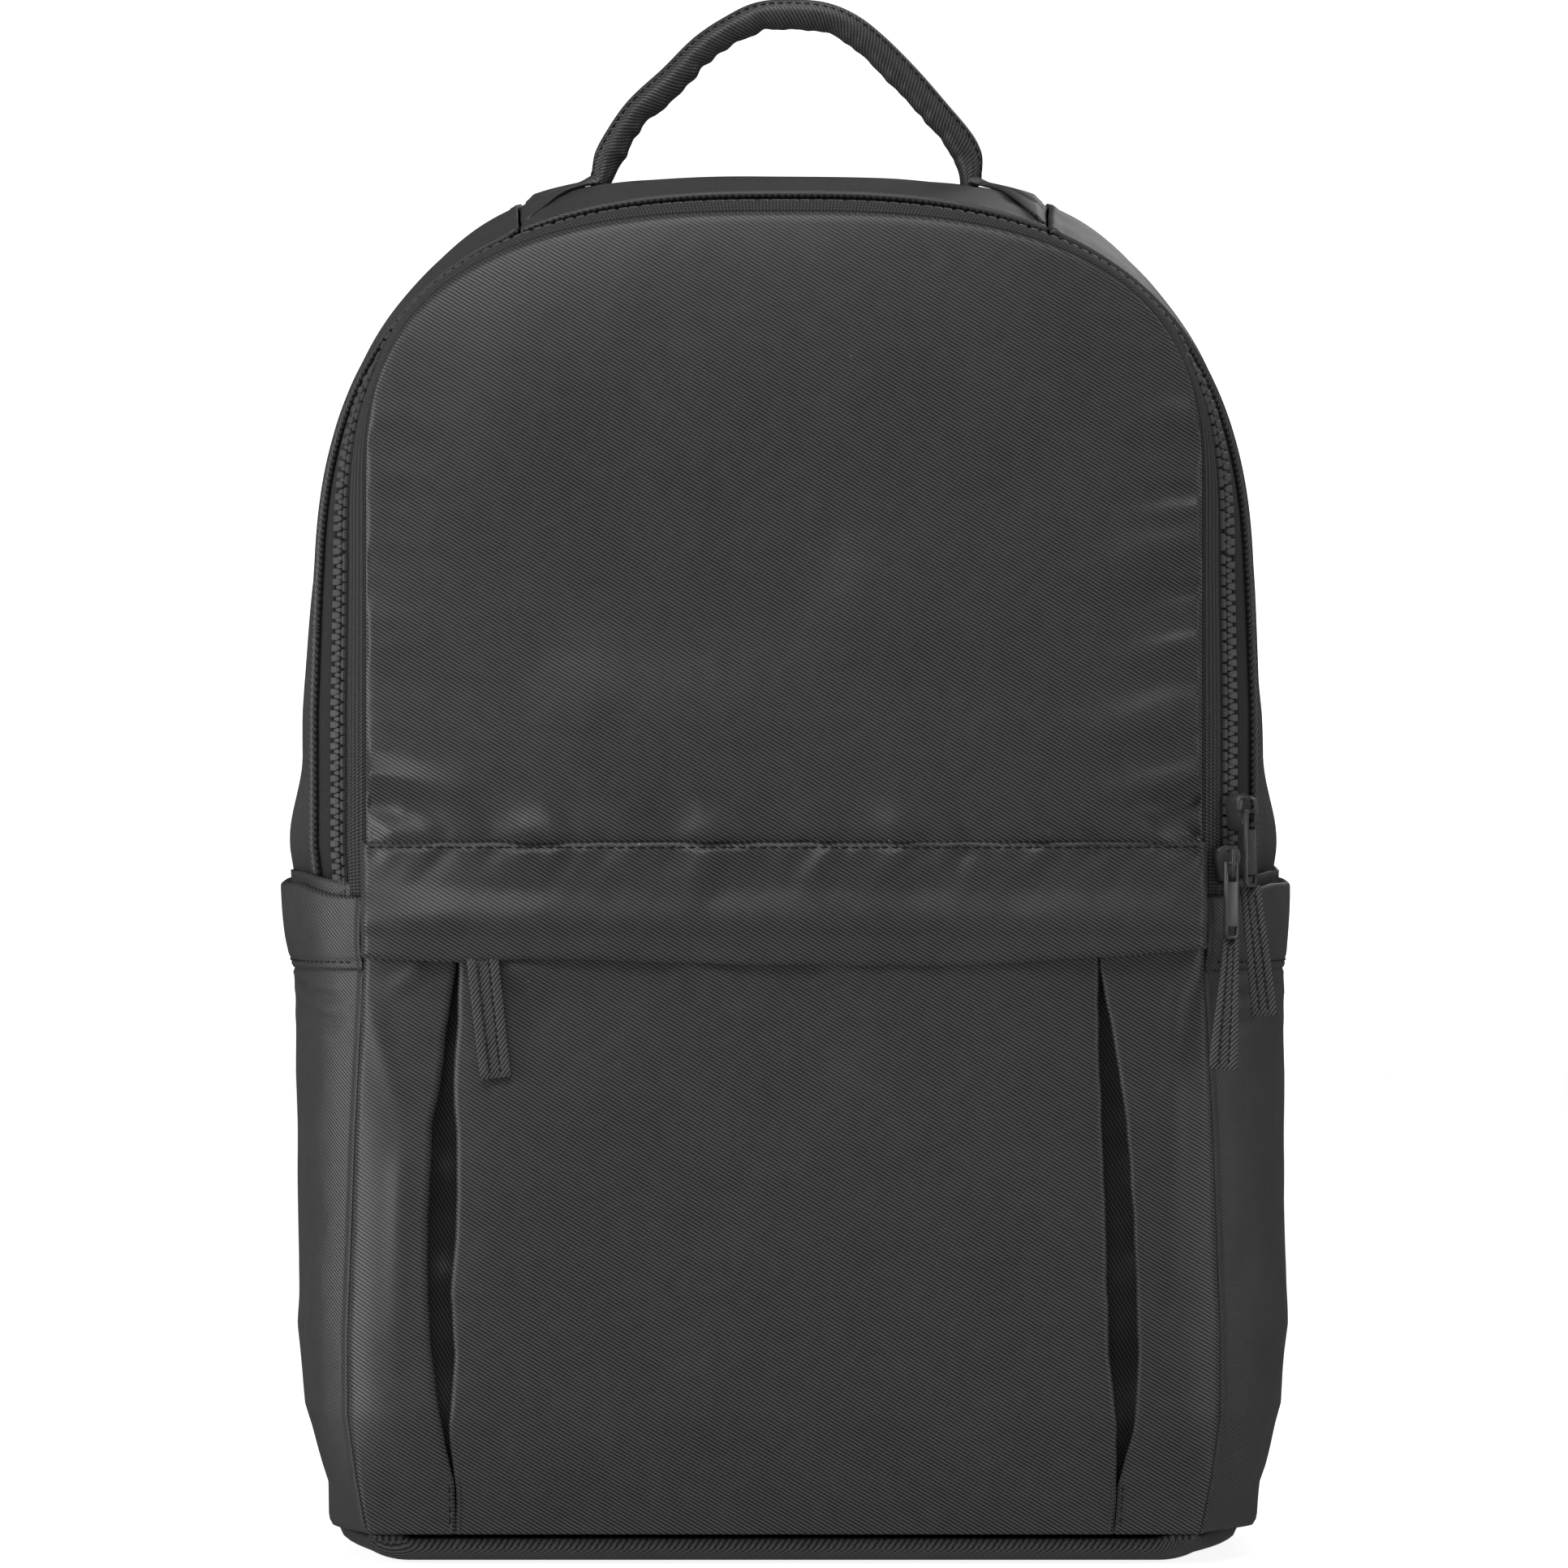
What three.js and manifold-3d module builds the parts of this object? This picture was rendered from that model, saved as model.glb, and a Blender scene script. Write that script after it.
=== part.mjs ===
// Laptop backpack with an arched front, a pleated front pocket and two side pockets.
// Millimetres, +Z up. The front faces -Y, the shoulder straps are on the +Y side.
// The origin is the middle of the flat base, on the surface that the bag stands on.

import * as THREE from 'three';
import Module from 'manifold-3d';
import { mergeVertices } from 'three/addons/utils/BufferGeometryUtils.js';

const wasm = await Module();
wasm.setup();

// Cloth and clearances
const CLOTH = 2;
const GAP = 0.3;

// Outline of the body at its front seam and at its back seam
const BAG_DEPTH = 130;
const FRONT_HALF_WIDTH = 129;
const BACK_HALF_WIDTH = 150;
const FRONT_TOP = 417;
const BACK_TOP = 435;
const FRONT_ARCH_RISE = 84;
const BACK_ARCH_RISE = 150;
const ARCH_POWER = 2.7;
const SIDE_FLARE_POWER = 7;
const TOP_FLARE_POWER = 2.5;
const BASE_RISE = 9;
const BASE_CORNER = 18;

// Front panel, flap and front pocket
const FRONT_CROWN = 8;
const FLAP_SEAM_HEIGHT = 222;
const FLAP_DROP = 36;
const FLAP_OVERLAP = 8;
const FLAP_PUFF = 2.5;
const POCKET_BULGE = 14;
const CENTRE_HALF_WIDTH = 100;
const CENTRE_LOFT = 2;
const PLEAT_OPENING = 9;
const PLEAT_DEPTH = 5;
const PLEAT_FOLD_BACK = 7;
const UNDERLAY_WALL = 1.4;
const UNDERLAY_LIFT = 13;

// Main zip, side pockets and their hems
const ZIP_TAPE = 6;
const ZIP_CHAIN = 6;
const ZIP_BACK_TAPE = 10;
const CHAIN_HEIGHT = 2.2;
const ZIP_WALL = 1.6;
const CROSS_SEAM_X = 82;
const SIDE_POCKET_HEIGHT = 210;
const HEM_HEIGHT = 27;
const POCKET_BACK_TURN = 0.12;

// Back panel and handle
const BACK_PAD = 10;
const HANDLE_HALF_SPAN = 64;
const HANDLE_RISE = 57;
const HANDLE_DEPTH_SHARE = 0.6;
const HANDLE_RADIUS = 4.7;
const HANDLE_SEAT = 1.7;
const TAIL_WIDTH = 15;
const TAIL_END_WIDTH = 52;
const TAIL_FORWARD = 18;

// Sliders, pullers and ribbons
const SLIDER = { length: 11, width: 8, height: 4.5, bail: 4.8, wire: 0.7 };
const SLIDER_ABOVE_POCKET = 6;
const SLIDER_SPACING = 16;
const UPPER_SLIDER = { turn: 38, pullTurn: 38, seatShare: 0.5, seatGap: 0.8, sway: { x: 4, y: -4 } };
const LOWER_SLIDER = { turn: 75, pullTurn: 45, seatShare: 0.05, seatGap: 2.2, sway: { x: -3, y: -9 } };
const PULLER = { length: 24, topWidth: 5.8, endWidth: 6.4, wall: 1.2, bar: 1.1 };
const RIBBON_WALL = 1.2;
const RIBBON_WIDTH = 7.5;
const RIBBON_LENGTH = 39;
const POCKET_RIBBON = { x: -93, width: 10, length: 34, lean: 5 };

// Shoulder straps
const STRAP_WIDTH = 56;
const STRAP_WALL = 11;
const STRAP_TOP_X = 44;
const STRAP_END_X = 92;
const STRAP_TOP_HEIGHT = 404;
const STRAP_END_HEIGHT = 142;
const STRAP_BOW = 40;
const WEBBING_WIDTH = 25;
const WEBBING_WALL = 1.6;
const ANCHOR_X = 118;
const ANCHOR_HEIGHT = 34;
const ADJUSTER = { width: 34, length: 22, wall: 4, slot: 4.5, slotStarts: [4, 12.3] };

const CLOTH_COLOUR = 0x404142;
const DARK_COLOUR = 0x2c2d2e;
const METAL_COLOUR = 0x202123;

// Shares of the front top height, and of the half width that each column names
const SIDE_ROWS = [
  { height: 0.000, front: 0.95, back: 0.880, pocketFront: 0.985, pocketSide: 0.900 },
  { height: 0.030, front: 0.99, back: 0.905, pocketFront: 1.000, pocketSide: 0.928 },
  { height: 0.065, front: 1.00, back: 0.935, pocketFront: 1.020, pocketSide: 0.972 },
  { height: 0.110, front: 1.00, back: 0.955, pocketFront: 1.040, pocketSide: 1.020 },
  { height: 0.170, front: 1.00, back: 0.968, pocketFront: 1.040, pocketSide: 1.045 },
  { height: 0.320, front: 1.00, back: 0.970, pocketFront: 1.022, pocketSide: 1.048 },
  { height: 0.440, front: 1.00, back: 0.975, pocketFront: 1.002, pocketSide: 1.055 },
  { height: 0.500, front: 1.00, back: 1.000, pocketFront: 1.000, pocketSide: 1.070 },
  { height: 0.530, front: 1.00, back: 1.014, pocketFront: 1.000, pocketSide: 1.075 },
  { height: 0.630, front: 1.00, back: 1.014, pocketFront: 1.000, pocketSide: 1.075 },
  { height: 0.740, front: 1.00, back: 1.000, pocketFront: 1.000, pocketSide: 1.075 },
  { height: 1.100, front: 1.00, back: 1.000, pocketFront: 1.000, pocketSide: 1.075 },
];

// Shares of the front pocket's height, and of the pleat's opening
const PLEAT_ROWS = [
  { height: 0.00, opening: 0.00 },
  { height: 0.09, opening: 0.02 },
  { height: 0.22, opening: 0.60 },
  { height: 0.36, opening: 0.92 },
  { height: 0.60, opening: 1.00 },
  { height: 0.80, opening: 0.55 },
  { height: 1.00, opening: 0.05 },
];

// Shares of the front panel's flat part and of its crowned part, where its rows lie
const FLAT_ROWS = [0, 0.25, 0.5, 0.75, 1];
const CROWN_ROWS = [0, 0.15, 0.3, 0.45, 0.6, 0.72, 0.82, 0.9, 0.96, 1];

// Shares of the handle's half span and rise, from the foot to the crest
const HANDLE_ROWS = [
  { across: 1.000, up: 0.00 },
  { across: 0.945, up: 0.16 },
  { across: 0.885, up: 0.27 },
  { across: 0.770, up: 0.46 },
  { across: 0.620, up: 0.645 },
  { across: 0.450, up: 0.79 },
  { across: 0.265, up: 0.92 },
  { across: 0.130, up: 0.975 },
  { across: 0.000, up: 1.00 },
];

// Shares along a shoulder strap: the drop, the sideways travel and the bow away from the back
const STRAP_ROWS = [
  { drop: 0.00, outward: 0.00, bow: 0.00 },
  { drop: 0.03, outward: 0.01, bow: 0.26 },
  { drop: 0.12, outward: 0.05, bow: 0.62 },
  { drop: 0.28, outward: 0.14, bow: 0.92 },
  { drop: 0.48, outward: 0.33, bow: 1.00 },
  { drop: 0.68, outward: 0.58, bow: 0.88 },
  { drop: 0.86, outward: 0.82, bow: 0.64 },
  { drop: 1.00, outward: 1.00, bow: 0.42 },
];

const FRONT_Y = -BAG_DEPTH / 2;
const BACK_Y = BAG_DEPTH / 2;
const POCKET_TOP = FLAP_SEAM_HEIGHT - FLAP_DROP + FLAP_OVERLAP;
const WALL_FOOT = BASE_RISE + GAP;
const CROWN_START = POCKET_TOP + ZIP_WALL + 2 * GAP;
const CROWN_FULL = FLAP_SEAM_HEIGHT + FLAP_OVERLAP;

const mix = (a, b, t) => a + (b - a) * t;
const clamp01 = (value) => Math.min(1, Math.max(0, value));
const smooth = (value) => clamp01(value) ** 2 * (3 - 2 * clamp01(value));
const depthShare = (y) => (y - FRONT_Y) / BAG_DEPTH;
const depthY = (share) => mix(FRONT_Y, BACK_Y, share);

// Reads one column of a table at a height, straight between rows
function column(rows, name, height) {
  const last = rows.length - 1;
  const next = rows.findIndex((row) => row.height >= height);
  if (next === 0) return rows[0][name];
  if (next < 0) return rows[last][name];
  const low = rows[next - 1];
  const high = rows[next];
  return mix(low[name], high[name], (height - low.height) / (high.height - low.height));
}

// The body's outline at a depth share: its half width, top and arch rise
function outline(share) {
  const flare = 1 - (1 - share) ** SIDE_FLARE_POWER;
  const lift = 1 - (1 - share) ** TOP_FLARE_POWER;
  const top = mix(FRONT_TOP, BACK_TOP, lift);
  const rise = mix(FRONT_ARCH_RISE, BACK_ARCH_RISE, flare);
  return { flare, top, rise, spring: top - rise };
}

// Half width of the body wall below the arch
function sideHalfWidth(z, share) {
  const { flare } = outline(share);
  const front = FRONT_HALF_WIDTH * column(SIDE_ROWS, 'front', z / FRONT_TOP);
  const back = BACK_HALF_WIDTH * column(SIDE_ROWS, 'back', z / FRONT_TOP);
  return mix(front, back, flare);
}

const reachAt = (angle) => Math.sign(Math.cos(angle)) * Math.abs(Math.cos(angle)) ** (2 / ARCH_POWER);
const riseAt = (angle) => Math.abs(Math.sin(angle)) ** (2 / ARCH_POWER);

// A point on the body's outline at angle 0 (right) to pi (left) of its arch
function archPoint(angle, share) {
  const { rise, spring } = outline(share);
  const z = spring + rise * riseAt(angle);
  return [reachAt(angle) * sideHalfWidth(z, share), z];
}

// The arch angle whose point lies at x
function archAngle(x, share) {
  const reach = x / sideHalfWidth(FRONT_TOP, share);
  return Math.acos(reach ** (ARCH_POWER / 2));
}

// The outline as one path: -1 left foot, -0.5 to 0.5 over the arch, 1 right foot
function bandPoint(along, share, foot) {
  if (Math.abs(along) <= 0.5) return archPoint(Math.PI * (0.5 - along), share);
  const z = mix(outline(share).spring, foot, Math.abs(along) * 2 - 1);
  return [Math.sign(along) * sideHalfWidth(z, share), z];
}

// The same point moved outwards across the path
function bandOffset(along, share, foot, offset) {
  const step = 0.004;
  const [x, z] = bandPoint(along, share, foot);
  const [x0, z0] = bandPoint(Math.max(-1, along - step), share, foot);
  const [x1, z1] = bandPoint(Math.min(1, along + step), share, foot);
  const length = Math.hypot(x1 - x0, z1 - z0);
  return [x - ((z1 - z0) / length) * offset, depthY(share), z + ((x1 - x0) / length) * offset];
}

// Turns a triangle mesh round if its faces point inwards
function facingOut(positions, faces) {
  let volume = 0;
  const [a, b, c] = [new THREE.Vector3(), new THREE.Vector3(), new THREE.Vector3()];
  for (let f = 0; f < faces.length; f += 3) {
    a.fromArray(positions, faces[f] * 3);
    b.fromArray(positions, faces[f + 1] * 3);
    c.fromArray(positions, faces[f + 2] * 3);
    volume += a.dot(b.cross(c));
  }
  const ordered = volume < 0 ? [...faces].reverse() : faces;
  const geometry = new THREE.BufferGeometry();
  geometry.setAttribute('position', new THREE.Float32BufferAttribute(positions, 3));
  geometry.setIndex(ordered);
  geometry.computeVertexNormals();
  return geometry;
}

// A closed shell: an outer skin, an inner skin and the rim between them
function shell(columns, rows, outer, inner) {
  const positions = [];
  const faces = [];
  for (const skin of [outer, inner]) {
    for (let i = 0; i <= columns; i += 1) {
      for (let j = 0; j <= rows; j += 1) positions.push(...skin(i / columns, j / rows));
    }
  }
  const sheet = (columns + 1) * (rows + 1);
  const at = (i, j) => i * (rows + 1) + j;
  for (let i = 0; i < columns; i += 1) {
    for (let j = 0; j < rows; j += 1) {
      const corners = [at(i, j), at(i + 1, j), at(i + 1, j + 1), at(i, j + 1)];
      const [a, b, c, d] = corners;
      const [e, f, g, h] = corners.map((corner) => corner + sheet);
      faces.push(a, b, c, a, c, d, e, g, f, e, h, g);
    }
  }
  const rim = [];
  for (let i = 0; i < columns; i += 1) rim.push([at(i + 1, 0), at(i, 0)], [at(i, rows), at(i + 1, rows)]);
  for (let j = 0; j < rows; j += 1) rim.push([at(0, j), at(0, j + 1)], [at(columns, j + 1), at(columns, j)]);
  for (const [p, q] of rim) faces.push(p, q, q + sheet, p, q + sheet, p + sheet);
  return facingOut(positions, faces);
}

// A flat strip that follows a curve, its width held near one direction
function strip(curve, across, steps, width, wall, columns = 2, edge = 1) {
  const place = (s, t, side) => {
    const point = curve.getPoint(s);
    const tangent = curve.getTangent(s);
    const wide = across.clone().addScaledVector(tangent, -across.dot(tangent)).normalize();
    const normal = new THREE.Vector3().crossVectors(tangent, wide);
    const reach = t * 2 - 1;
    const thick = wall * mix(1, edge, reach ** 4);
    point.addScaledVector(wide, (reach * width) / 2).addScaledVector(normal, (side * thick) / 2);
    return point.toArray();
  };
  return shell(steps, columns, (s, t) => place(s, t, 1), (s, t) => place(s, t, -1));
}

// Merged triangles as a solid that can be joined or cut
function solidOf(geometry) {
  const bare = geometry.clone();
  bare.deleteAttribute('normal');
  bare.deleteAttribute('uv');
  const merged = mergeVertices(bare, 1e-3);
  const triVerts = new Uint32Array(merged.index.array);
  const vertProperties = new Float32Array(merged.attributes.position.array);
  return new wasm.Manifold(new wasm.Mesh({ numProp: 3, vertProperties, triVerts }));
}

function geometryOf(solid) {
  const mesh = solid.getMesh();
  const geometry = new THREE.BufferGeometry();
  geometry.setAttribute('position', new THREE.BufferAttribute(mesh.vertProperties, 3));
  geometry.setIndex(new THREE.BufferAttribute(mesh.triVerts, 1));
  return geometry;
}

const bag = new THREE.Group();

function addPiece(name, geometry, colour = CLOTH_COLOUR, roughness = 0.55, metalness = 0) {
  const material = new THREE.MeshStandardMaterial({ color: colour, roughness, metalness });
  const mesh = new THREE.Mesh(geometry, material);
  mesh.name = name;
  bag.add(mesh);
  return mesh;
}

// How far a point of a face lies from its middle: 0 there and 1 on the outline
function faceReach(x, z, share) {
  const { rise, spring } = outline(share);
  const across = Math.abs(x) / sideHalfWidth(z, share);
  const up = clamp01((z - spring) / rise);
  return clamp01((across ** ARCH_POWER + up ** ARCH_POWER) ** (1 / ARCH_POWER));
}

// A point of an arched face, from its left edge to its right and its foot to its arch
function facePoint(across, up, share) {
  const angle = Math.PI * (1 - across);
  const { rise, spring } = outline(share);
  const z = mix(WALL_FOOT, spring + rise * riseAt(angle), up);
  return [reachAt(angle) * sideHalfWidth(z, share), z];
}

// Outer face of the front panel, flat behind the pocket and crowned above it
function frontY(x, z) {
  const free = smooth((z - CROWN_START) / (CROWN_FULL - CROWN_START));
  return FRONT_Y - CLOTH - FRONT_CROWN * free * (1 - faceReach(x, z, 0) ** 4);
}

function makeFrontPanel() {
  const rows = FLAT_ROWS.length + CROWN_ROWS.length;
  const point = (across, row, back) => {
    const top = facePoint(across, 1, 0)[1];
    const heights = [
      ...FLAT_ROWS.map((share) => mix(WALL_FOOT, CROWN_START, share)),
      (CROWN_START + CROWN_FULL) / 2,
      ...CROWN_ROWS.map((share) => mix(CROWN_FULL, top, share)),
    ];
    const z = heights[Math.round(row * rows)];
    const x = reachAt(Math.PI * (1 - across)) * sideHalfWidth(z, 0);
    return [x, frontY(x, z) + back, z];
  };
  return shell(18, rows, (s, t) => point(s, t, 0), (s, t) => point(s, t, CLOTH - GAP));
}

// Half width of the front pocket, and the outer face of its panels
const pocketHalfWidth = (z) => FRONT_HALF_WIDTH * column(SIDE_ROWS, 'pocketFront', z / FRONT_TOP);

function pocketY(x, z) {
  const across = clamp01(Math.abs(x) / pocketHalfWidth(z));
  const up = smooth((z - WALL_FOOT) / (POCKET_TOP * 0.2));
  const bulge = POCKET_BULGE * up * (1 - across ** 9);
  return FRONT_Y - 2 * CLOTH - GAP - bulge;
}

const pleatOpening = (z) => {
  const share = (z - WALL_FOOT) / (POCKET_TOP - WALL_FOOT);
  return GAP + PLEAT_OPENING * column(PLEAT_ROWS, 'opening', share);
};

function makeCentrePanel() {
  const point = (s, t, back) => {
    const x = mix(-CENTRE_HALF_WIDTH, CENTRE_HALF_WIDTH, s);
    const z = mix(WALL_FOOT, POCKET_TOP, t);
    const loft = CENTRE_LOFT * (1 - (2 * s - 1) ** 6) * smooth(t * 5);
    return [x, pocketY(x, z) - loft + back, z];
  };
  return shell(8, 12, (s, t) => point(s, t, 0), (s, t) => point(s, t, CLOTH));
}

function makePocketSide(side) {
  const point = (s, t, back) => {
    const z = mix(WALL_FOOT, POCKET_TOP, t);
    const inner = CENTRE_HALF_WIDTH + pleatOpening(z);
    const x = side * mix(inner, pocketHalfWidth(z), s);
    return [x, pocketY(x, z) + back, z];
  };
  return shell(4, 12, (s, t) => point(s, t, 0), (s, t) => point(s, t, CLOTH));
}

// A shallow trough behind the two folded edges of a pleat
function makeUnderlay(side) {
  const point = (s, t, back) => {
    const z = mix(WALL_FOOT + UNDERLAY_LIFT, POCKET_TOP, t);
    const start = CENTRE_HALF_WIDTH - PLEAT_FOLD_BACK;
    const end = CENTRE_HALF_WIDTH + pleatOpening(z) + PLEAT_FOLD_BACK;
    const x = side * mix(start, end, s);
    const dip = PLEAT_DEPTH * (1 - Math.abs(2 * s - 1)) * (pleatOpening(z) / PLEAT_OPENING);
    return [x, pocketY(x, z) + CLOTH + 2 * GAP + dip + back, z];
  };
  return shell(4, 12, (s, t) => point(s, t, 0), (s, t) => point(s, t, UNDERLAY_WALL));
}

// The closed zip strip from the pocket's top edge back to the front panel
function makePocketZip() {
  const half = CENTRE_HALF_WIDTH;
  const point = (s, t, up) => {
    const x = mix(-half, half, s);
    const near = pocketY(x, POCKET_TOP) + GAP;
    const far = frontY(x, POCKET_TOP + CLOTH) - GAP;
    return [x, mix(near, far, t), POCKET_TOP + GAP + up];
  };
  return shell(12, 2, (s, t) => point(s, t, ZIP_WALL), (s, t) => point(s, t, 0));
}

function makePocketSlider() {
  const body = new THREE.BoxGeometry(SLIDER.length, SLIDER.width, SLIDER.height);
  const seat = POCKET_TOP + GAP + ZIP_WALL + GAP + SLIDER.height / 2;
  const middle = (pocketY(POCKET_RIBBON.x, POCKET_TOP) + frontY(POCKET_RIBBON.x, POCKET_TOP)) / 2;
  return body.translate(POCKET_RIBBON.x, middle, seat);
}

// The stitched band over the pocket's mouth: sewn at its top, free at its lower edge
function flapY(x, z) {
  const seam = frontY(x, FLAP_SEAM_HEIGHT) - GAP - CLOTH;
  const low = pocketY(x, Math.min(z, POCKET_TOP)) - CENTRE_LOFT - GAP - CLOTH;
  const drop = clamp01((FLAP_SEAM_HEIGHT - z) / (FLAP_DROP - FLAP_OVERLAP));
  return Math.min(mix(seam, low, smooth(drop * 1.1)), frontY(x, z) - GAP - CLOTH)
    - FLAP_PUFF * Math.sin(Math.PI * drop);
}

function makeFlap() {
  const half = FRONT_HALF_WIDTH + CLOTH / 2;
  const point = (s, t, back) => {
    const x = half * reachAt(Math.PI * (1 - s));
    const z = FLAP_SEAM_HEIGHT - FLAP_DROP * t;
    return [x, flapY(x, z) + back, z];
  };
  return shell(18, 5, (s, t) => point(s, t, 0), (s, t) => point(s, t, CLOTH - GAP));
}

// A strip of the band between two depths, along part of the outline
function makeBandStrip(steps, rows, nearY, farY, wall, start, end, foot, proud = 0) {
  const point = (s, t, offset) => {
    const share = depthShare(mix(nearY, farY, t));
    const along = mix(start(share), end(share), s);
    return bandOffset(along, share, foot, offset);
  };
  return shell(steps, rows, (s, t) => point(s, t, proud), (s, t) => point(s, t, proud - wall));
}

const tapeStart = FRONT_Y + GAP / 2;
const chainStart = FRONT_Y + ZIP_TAPE;
const chainEnd = chainStart + ZIP_CHAIN;
const gussetStart = chainEnd + ZIP_BACK_TAPE;
const zipFoot = SIDE_POCKET_HEIGHT - 2 * CLOTH;
const wholeStart = () => -1;
const wholeEnd = () => 1;
const seamAlong = (offset) => (share) => 0.5 - archAngle(CROSS_SEAM_X + offset, share) / Math.PI;

// The cloth below the zip's end, from the front seam back to the side gusset
function makeLowerStrip(side) {
  const start = (share) => {
    const { spring } = outline(share);
    return side * (0.5 + (0.5 * (spring - zipFoot + GAP)) / (spring - WALL_FOOT));
  };
  return makeBandStrip(9, 2, tapeStart, gussetStart, CLOTH, start, () => side, WALL_FOOT);
}

function makeSideGusset(side) {
  const start = (share) => side * seamAlong(GAP)(share);
  const end = () => side;
  return makeBandStrip(22, 6, gussetStart + GAP, BACK_Y, CLOTH, start, end, WALL_FOOT);
}

// Half width of a side pocket's outer face, which turns in to the body at its back edge
function sidePocketHalfWidth(z, share) {
  const { flare } = outline(share);
  const front = pocketHalfWidth(z);
  const side = BACK_HALF_WIDTH * column(SIDE_ROWS, 'pocketSide', z / FRONT_TOP);
  const body = sideHalfWidth(z, share) + CLOTH + GAP;
  const turn = smooth((1 - share) / POCKET_BACK_TURN);
  return mix(body, Math.max(body, mix(front + CLOTH, side, flare)), turn);
}

function makeSidePocket(side, foot, top, rows, proud) {
  const point = (s, t, offset) => {
    const share = mix(0.004, 1, s ** 1.8);
    const z = mix(foot, top, t);
    return [side * (sidePocketHalfWidth(z, share) + offset), depthY(share), z];
  };
  return shell(10, rows, (s, t) => point(s, t, proud), (s, t) => point(s, t, proud - CLOTH));
}

// The base: flat in the middle, its rim turned up to the walls
function makeBottom() {
  const point = (s, t, up) => {
    const turn = (value) => Math.sign(value - 0.5) * Math.abs(2 * value - 1) ** 0.35;
    const y = turn(t) * (BACK_Y + CLOTH);
    const half = sideHalfWidth(BASE_RISE, clamp01(depthShare(y)));
    const x = turn(s) * half;
    const edgeX = clamp01((Math.abs(x) - half + BASE_CORNER) / BASE_CORNER);
    const edgeY = clamp01((Math.abs(y) - BACK_Y - CLOTH + BASE_CORNER) / BASE_CORNER);
    const edge = clamp01(Math.hypot(edgeX, edgeY));
    return [x, y, (BASE_RISE - CLOTH) * (1 - Math.sqrt(1 - edge ** 2)) + up];
  };
  return shell(12, 8, (s, t) => point(s, t, 0), (s, t) => point(s, t, CLOTH));
}

function backY(x, z) {
  return BACK_Y + GAP + BACK_PAD * (0.35 + 0.65 * (1 - faceReach(x, z, 1) ** 6));
}

function makeBackPanel() {
  const point = (across, up, outer) => {
    const [x, z] = facePoint(across, up, 1);
    return [x, outer ? backY(x, z) : BACK_Y + GAP, z];
  };
  return shell(16, 10, (s, t) => point(s, t, true), (s, t) => point(s, t, false));
}

const handleY = depthY(HANDLE_DEPTH_SHARE);
const handleFoot = bandPoint(0, HANDLE_DEPTH_SHARE, 0)[1];

function handleHeight(x) {
  const angle = archAngle(Math.abs(x), HANDLE_DEPTH_SHARE);
  return archPoint(angle, HANDLE_DEPTH_SHARE)[1];
}

// A rolled tube bent into an arch, its ends standing on the top gusset
function makeHandle() {
  const foot = handleHeight(HANDLE_HALF_SPAN - 2 * HANDLE_RADIUS) + HANDLE_SEAT;
  const crest = handleFoot + HANDLE_RISE - HANDLE_RADIUS;
  const half = HANDLE_HALF_SPAN - HANDLE_RADIUS;
  const points = [];
  for (const side of [-1, 1]) {
    const rows = side < 0 ? HANDLE_ROWS : [...HANDLE_ROWS].reverse().slice(1);
    for (const row of rows) {
      points.push(new THREE.Vector3(side * half * row.across, handleY, mix(foot, crest, row.up)));
    }
  }
  const curve = new THREE.CatmullRomCurve3(points, false, 'centripetal');
  const section = new THREE.Shape();
  const sides = 10;
  for (let i = 0; i < sides; i += 1) {
    const angle = (2 * Math.PI * i) / sides;
    const spot = [HANDLE_RADIUS * Math.cos(angle), HANDLE_RADIUS * Math.sin(angle)];
    if (i === 0) section.moveTo(...spot);
    else section.lineTo(...spot);
  }
  return new THREE.ExtrudeGeometry(section, { steps: 28, extrudePath: curve });
}

// A flat tail that spreads from a foot of the handle to the cross seam
function makeHandleTail(side) {
  const point = (s, t, up) => {
    const x = mix(HANDLE_HALF_SPAN + GAP, CROSS_SEAM_X, s);
    const width = mix(TAIL_WIDTH, TAIL_END_WIDTH, smooth(s));
    const y = handleY - TAIL_FORWARD * smooth(s) + width * (t - 0.5);
    const share = depthShare(y);
    return [side * x, y, archPoint(archAngle(x, share), share)[1] + 2 * GAP + up];
  };
  return shell(4, 6, (s, t) => point(s, t, CLOTH - GAP), (s, t) => point(s, t, 0));
}

// A point on the chain at a height on the right side, from its front edge to its back edge
function chainSeat(z, share) {
  const y = mix(chainStart, chainEnd, share);
  return new THREE.Vector3(sideHalfWidth(z, depthShare(y)), y, z);
}

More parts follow.
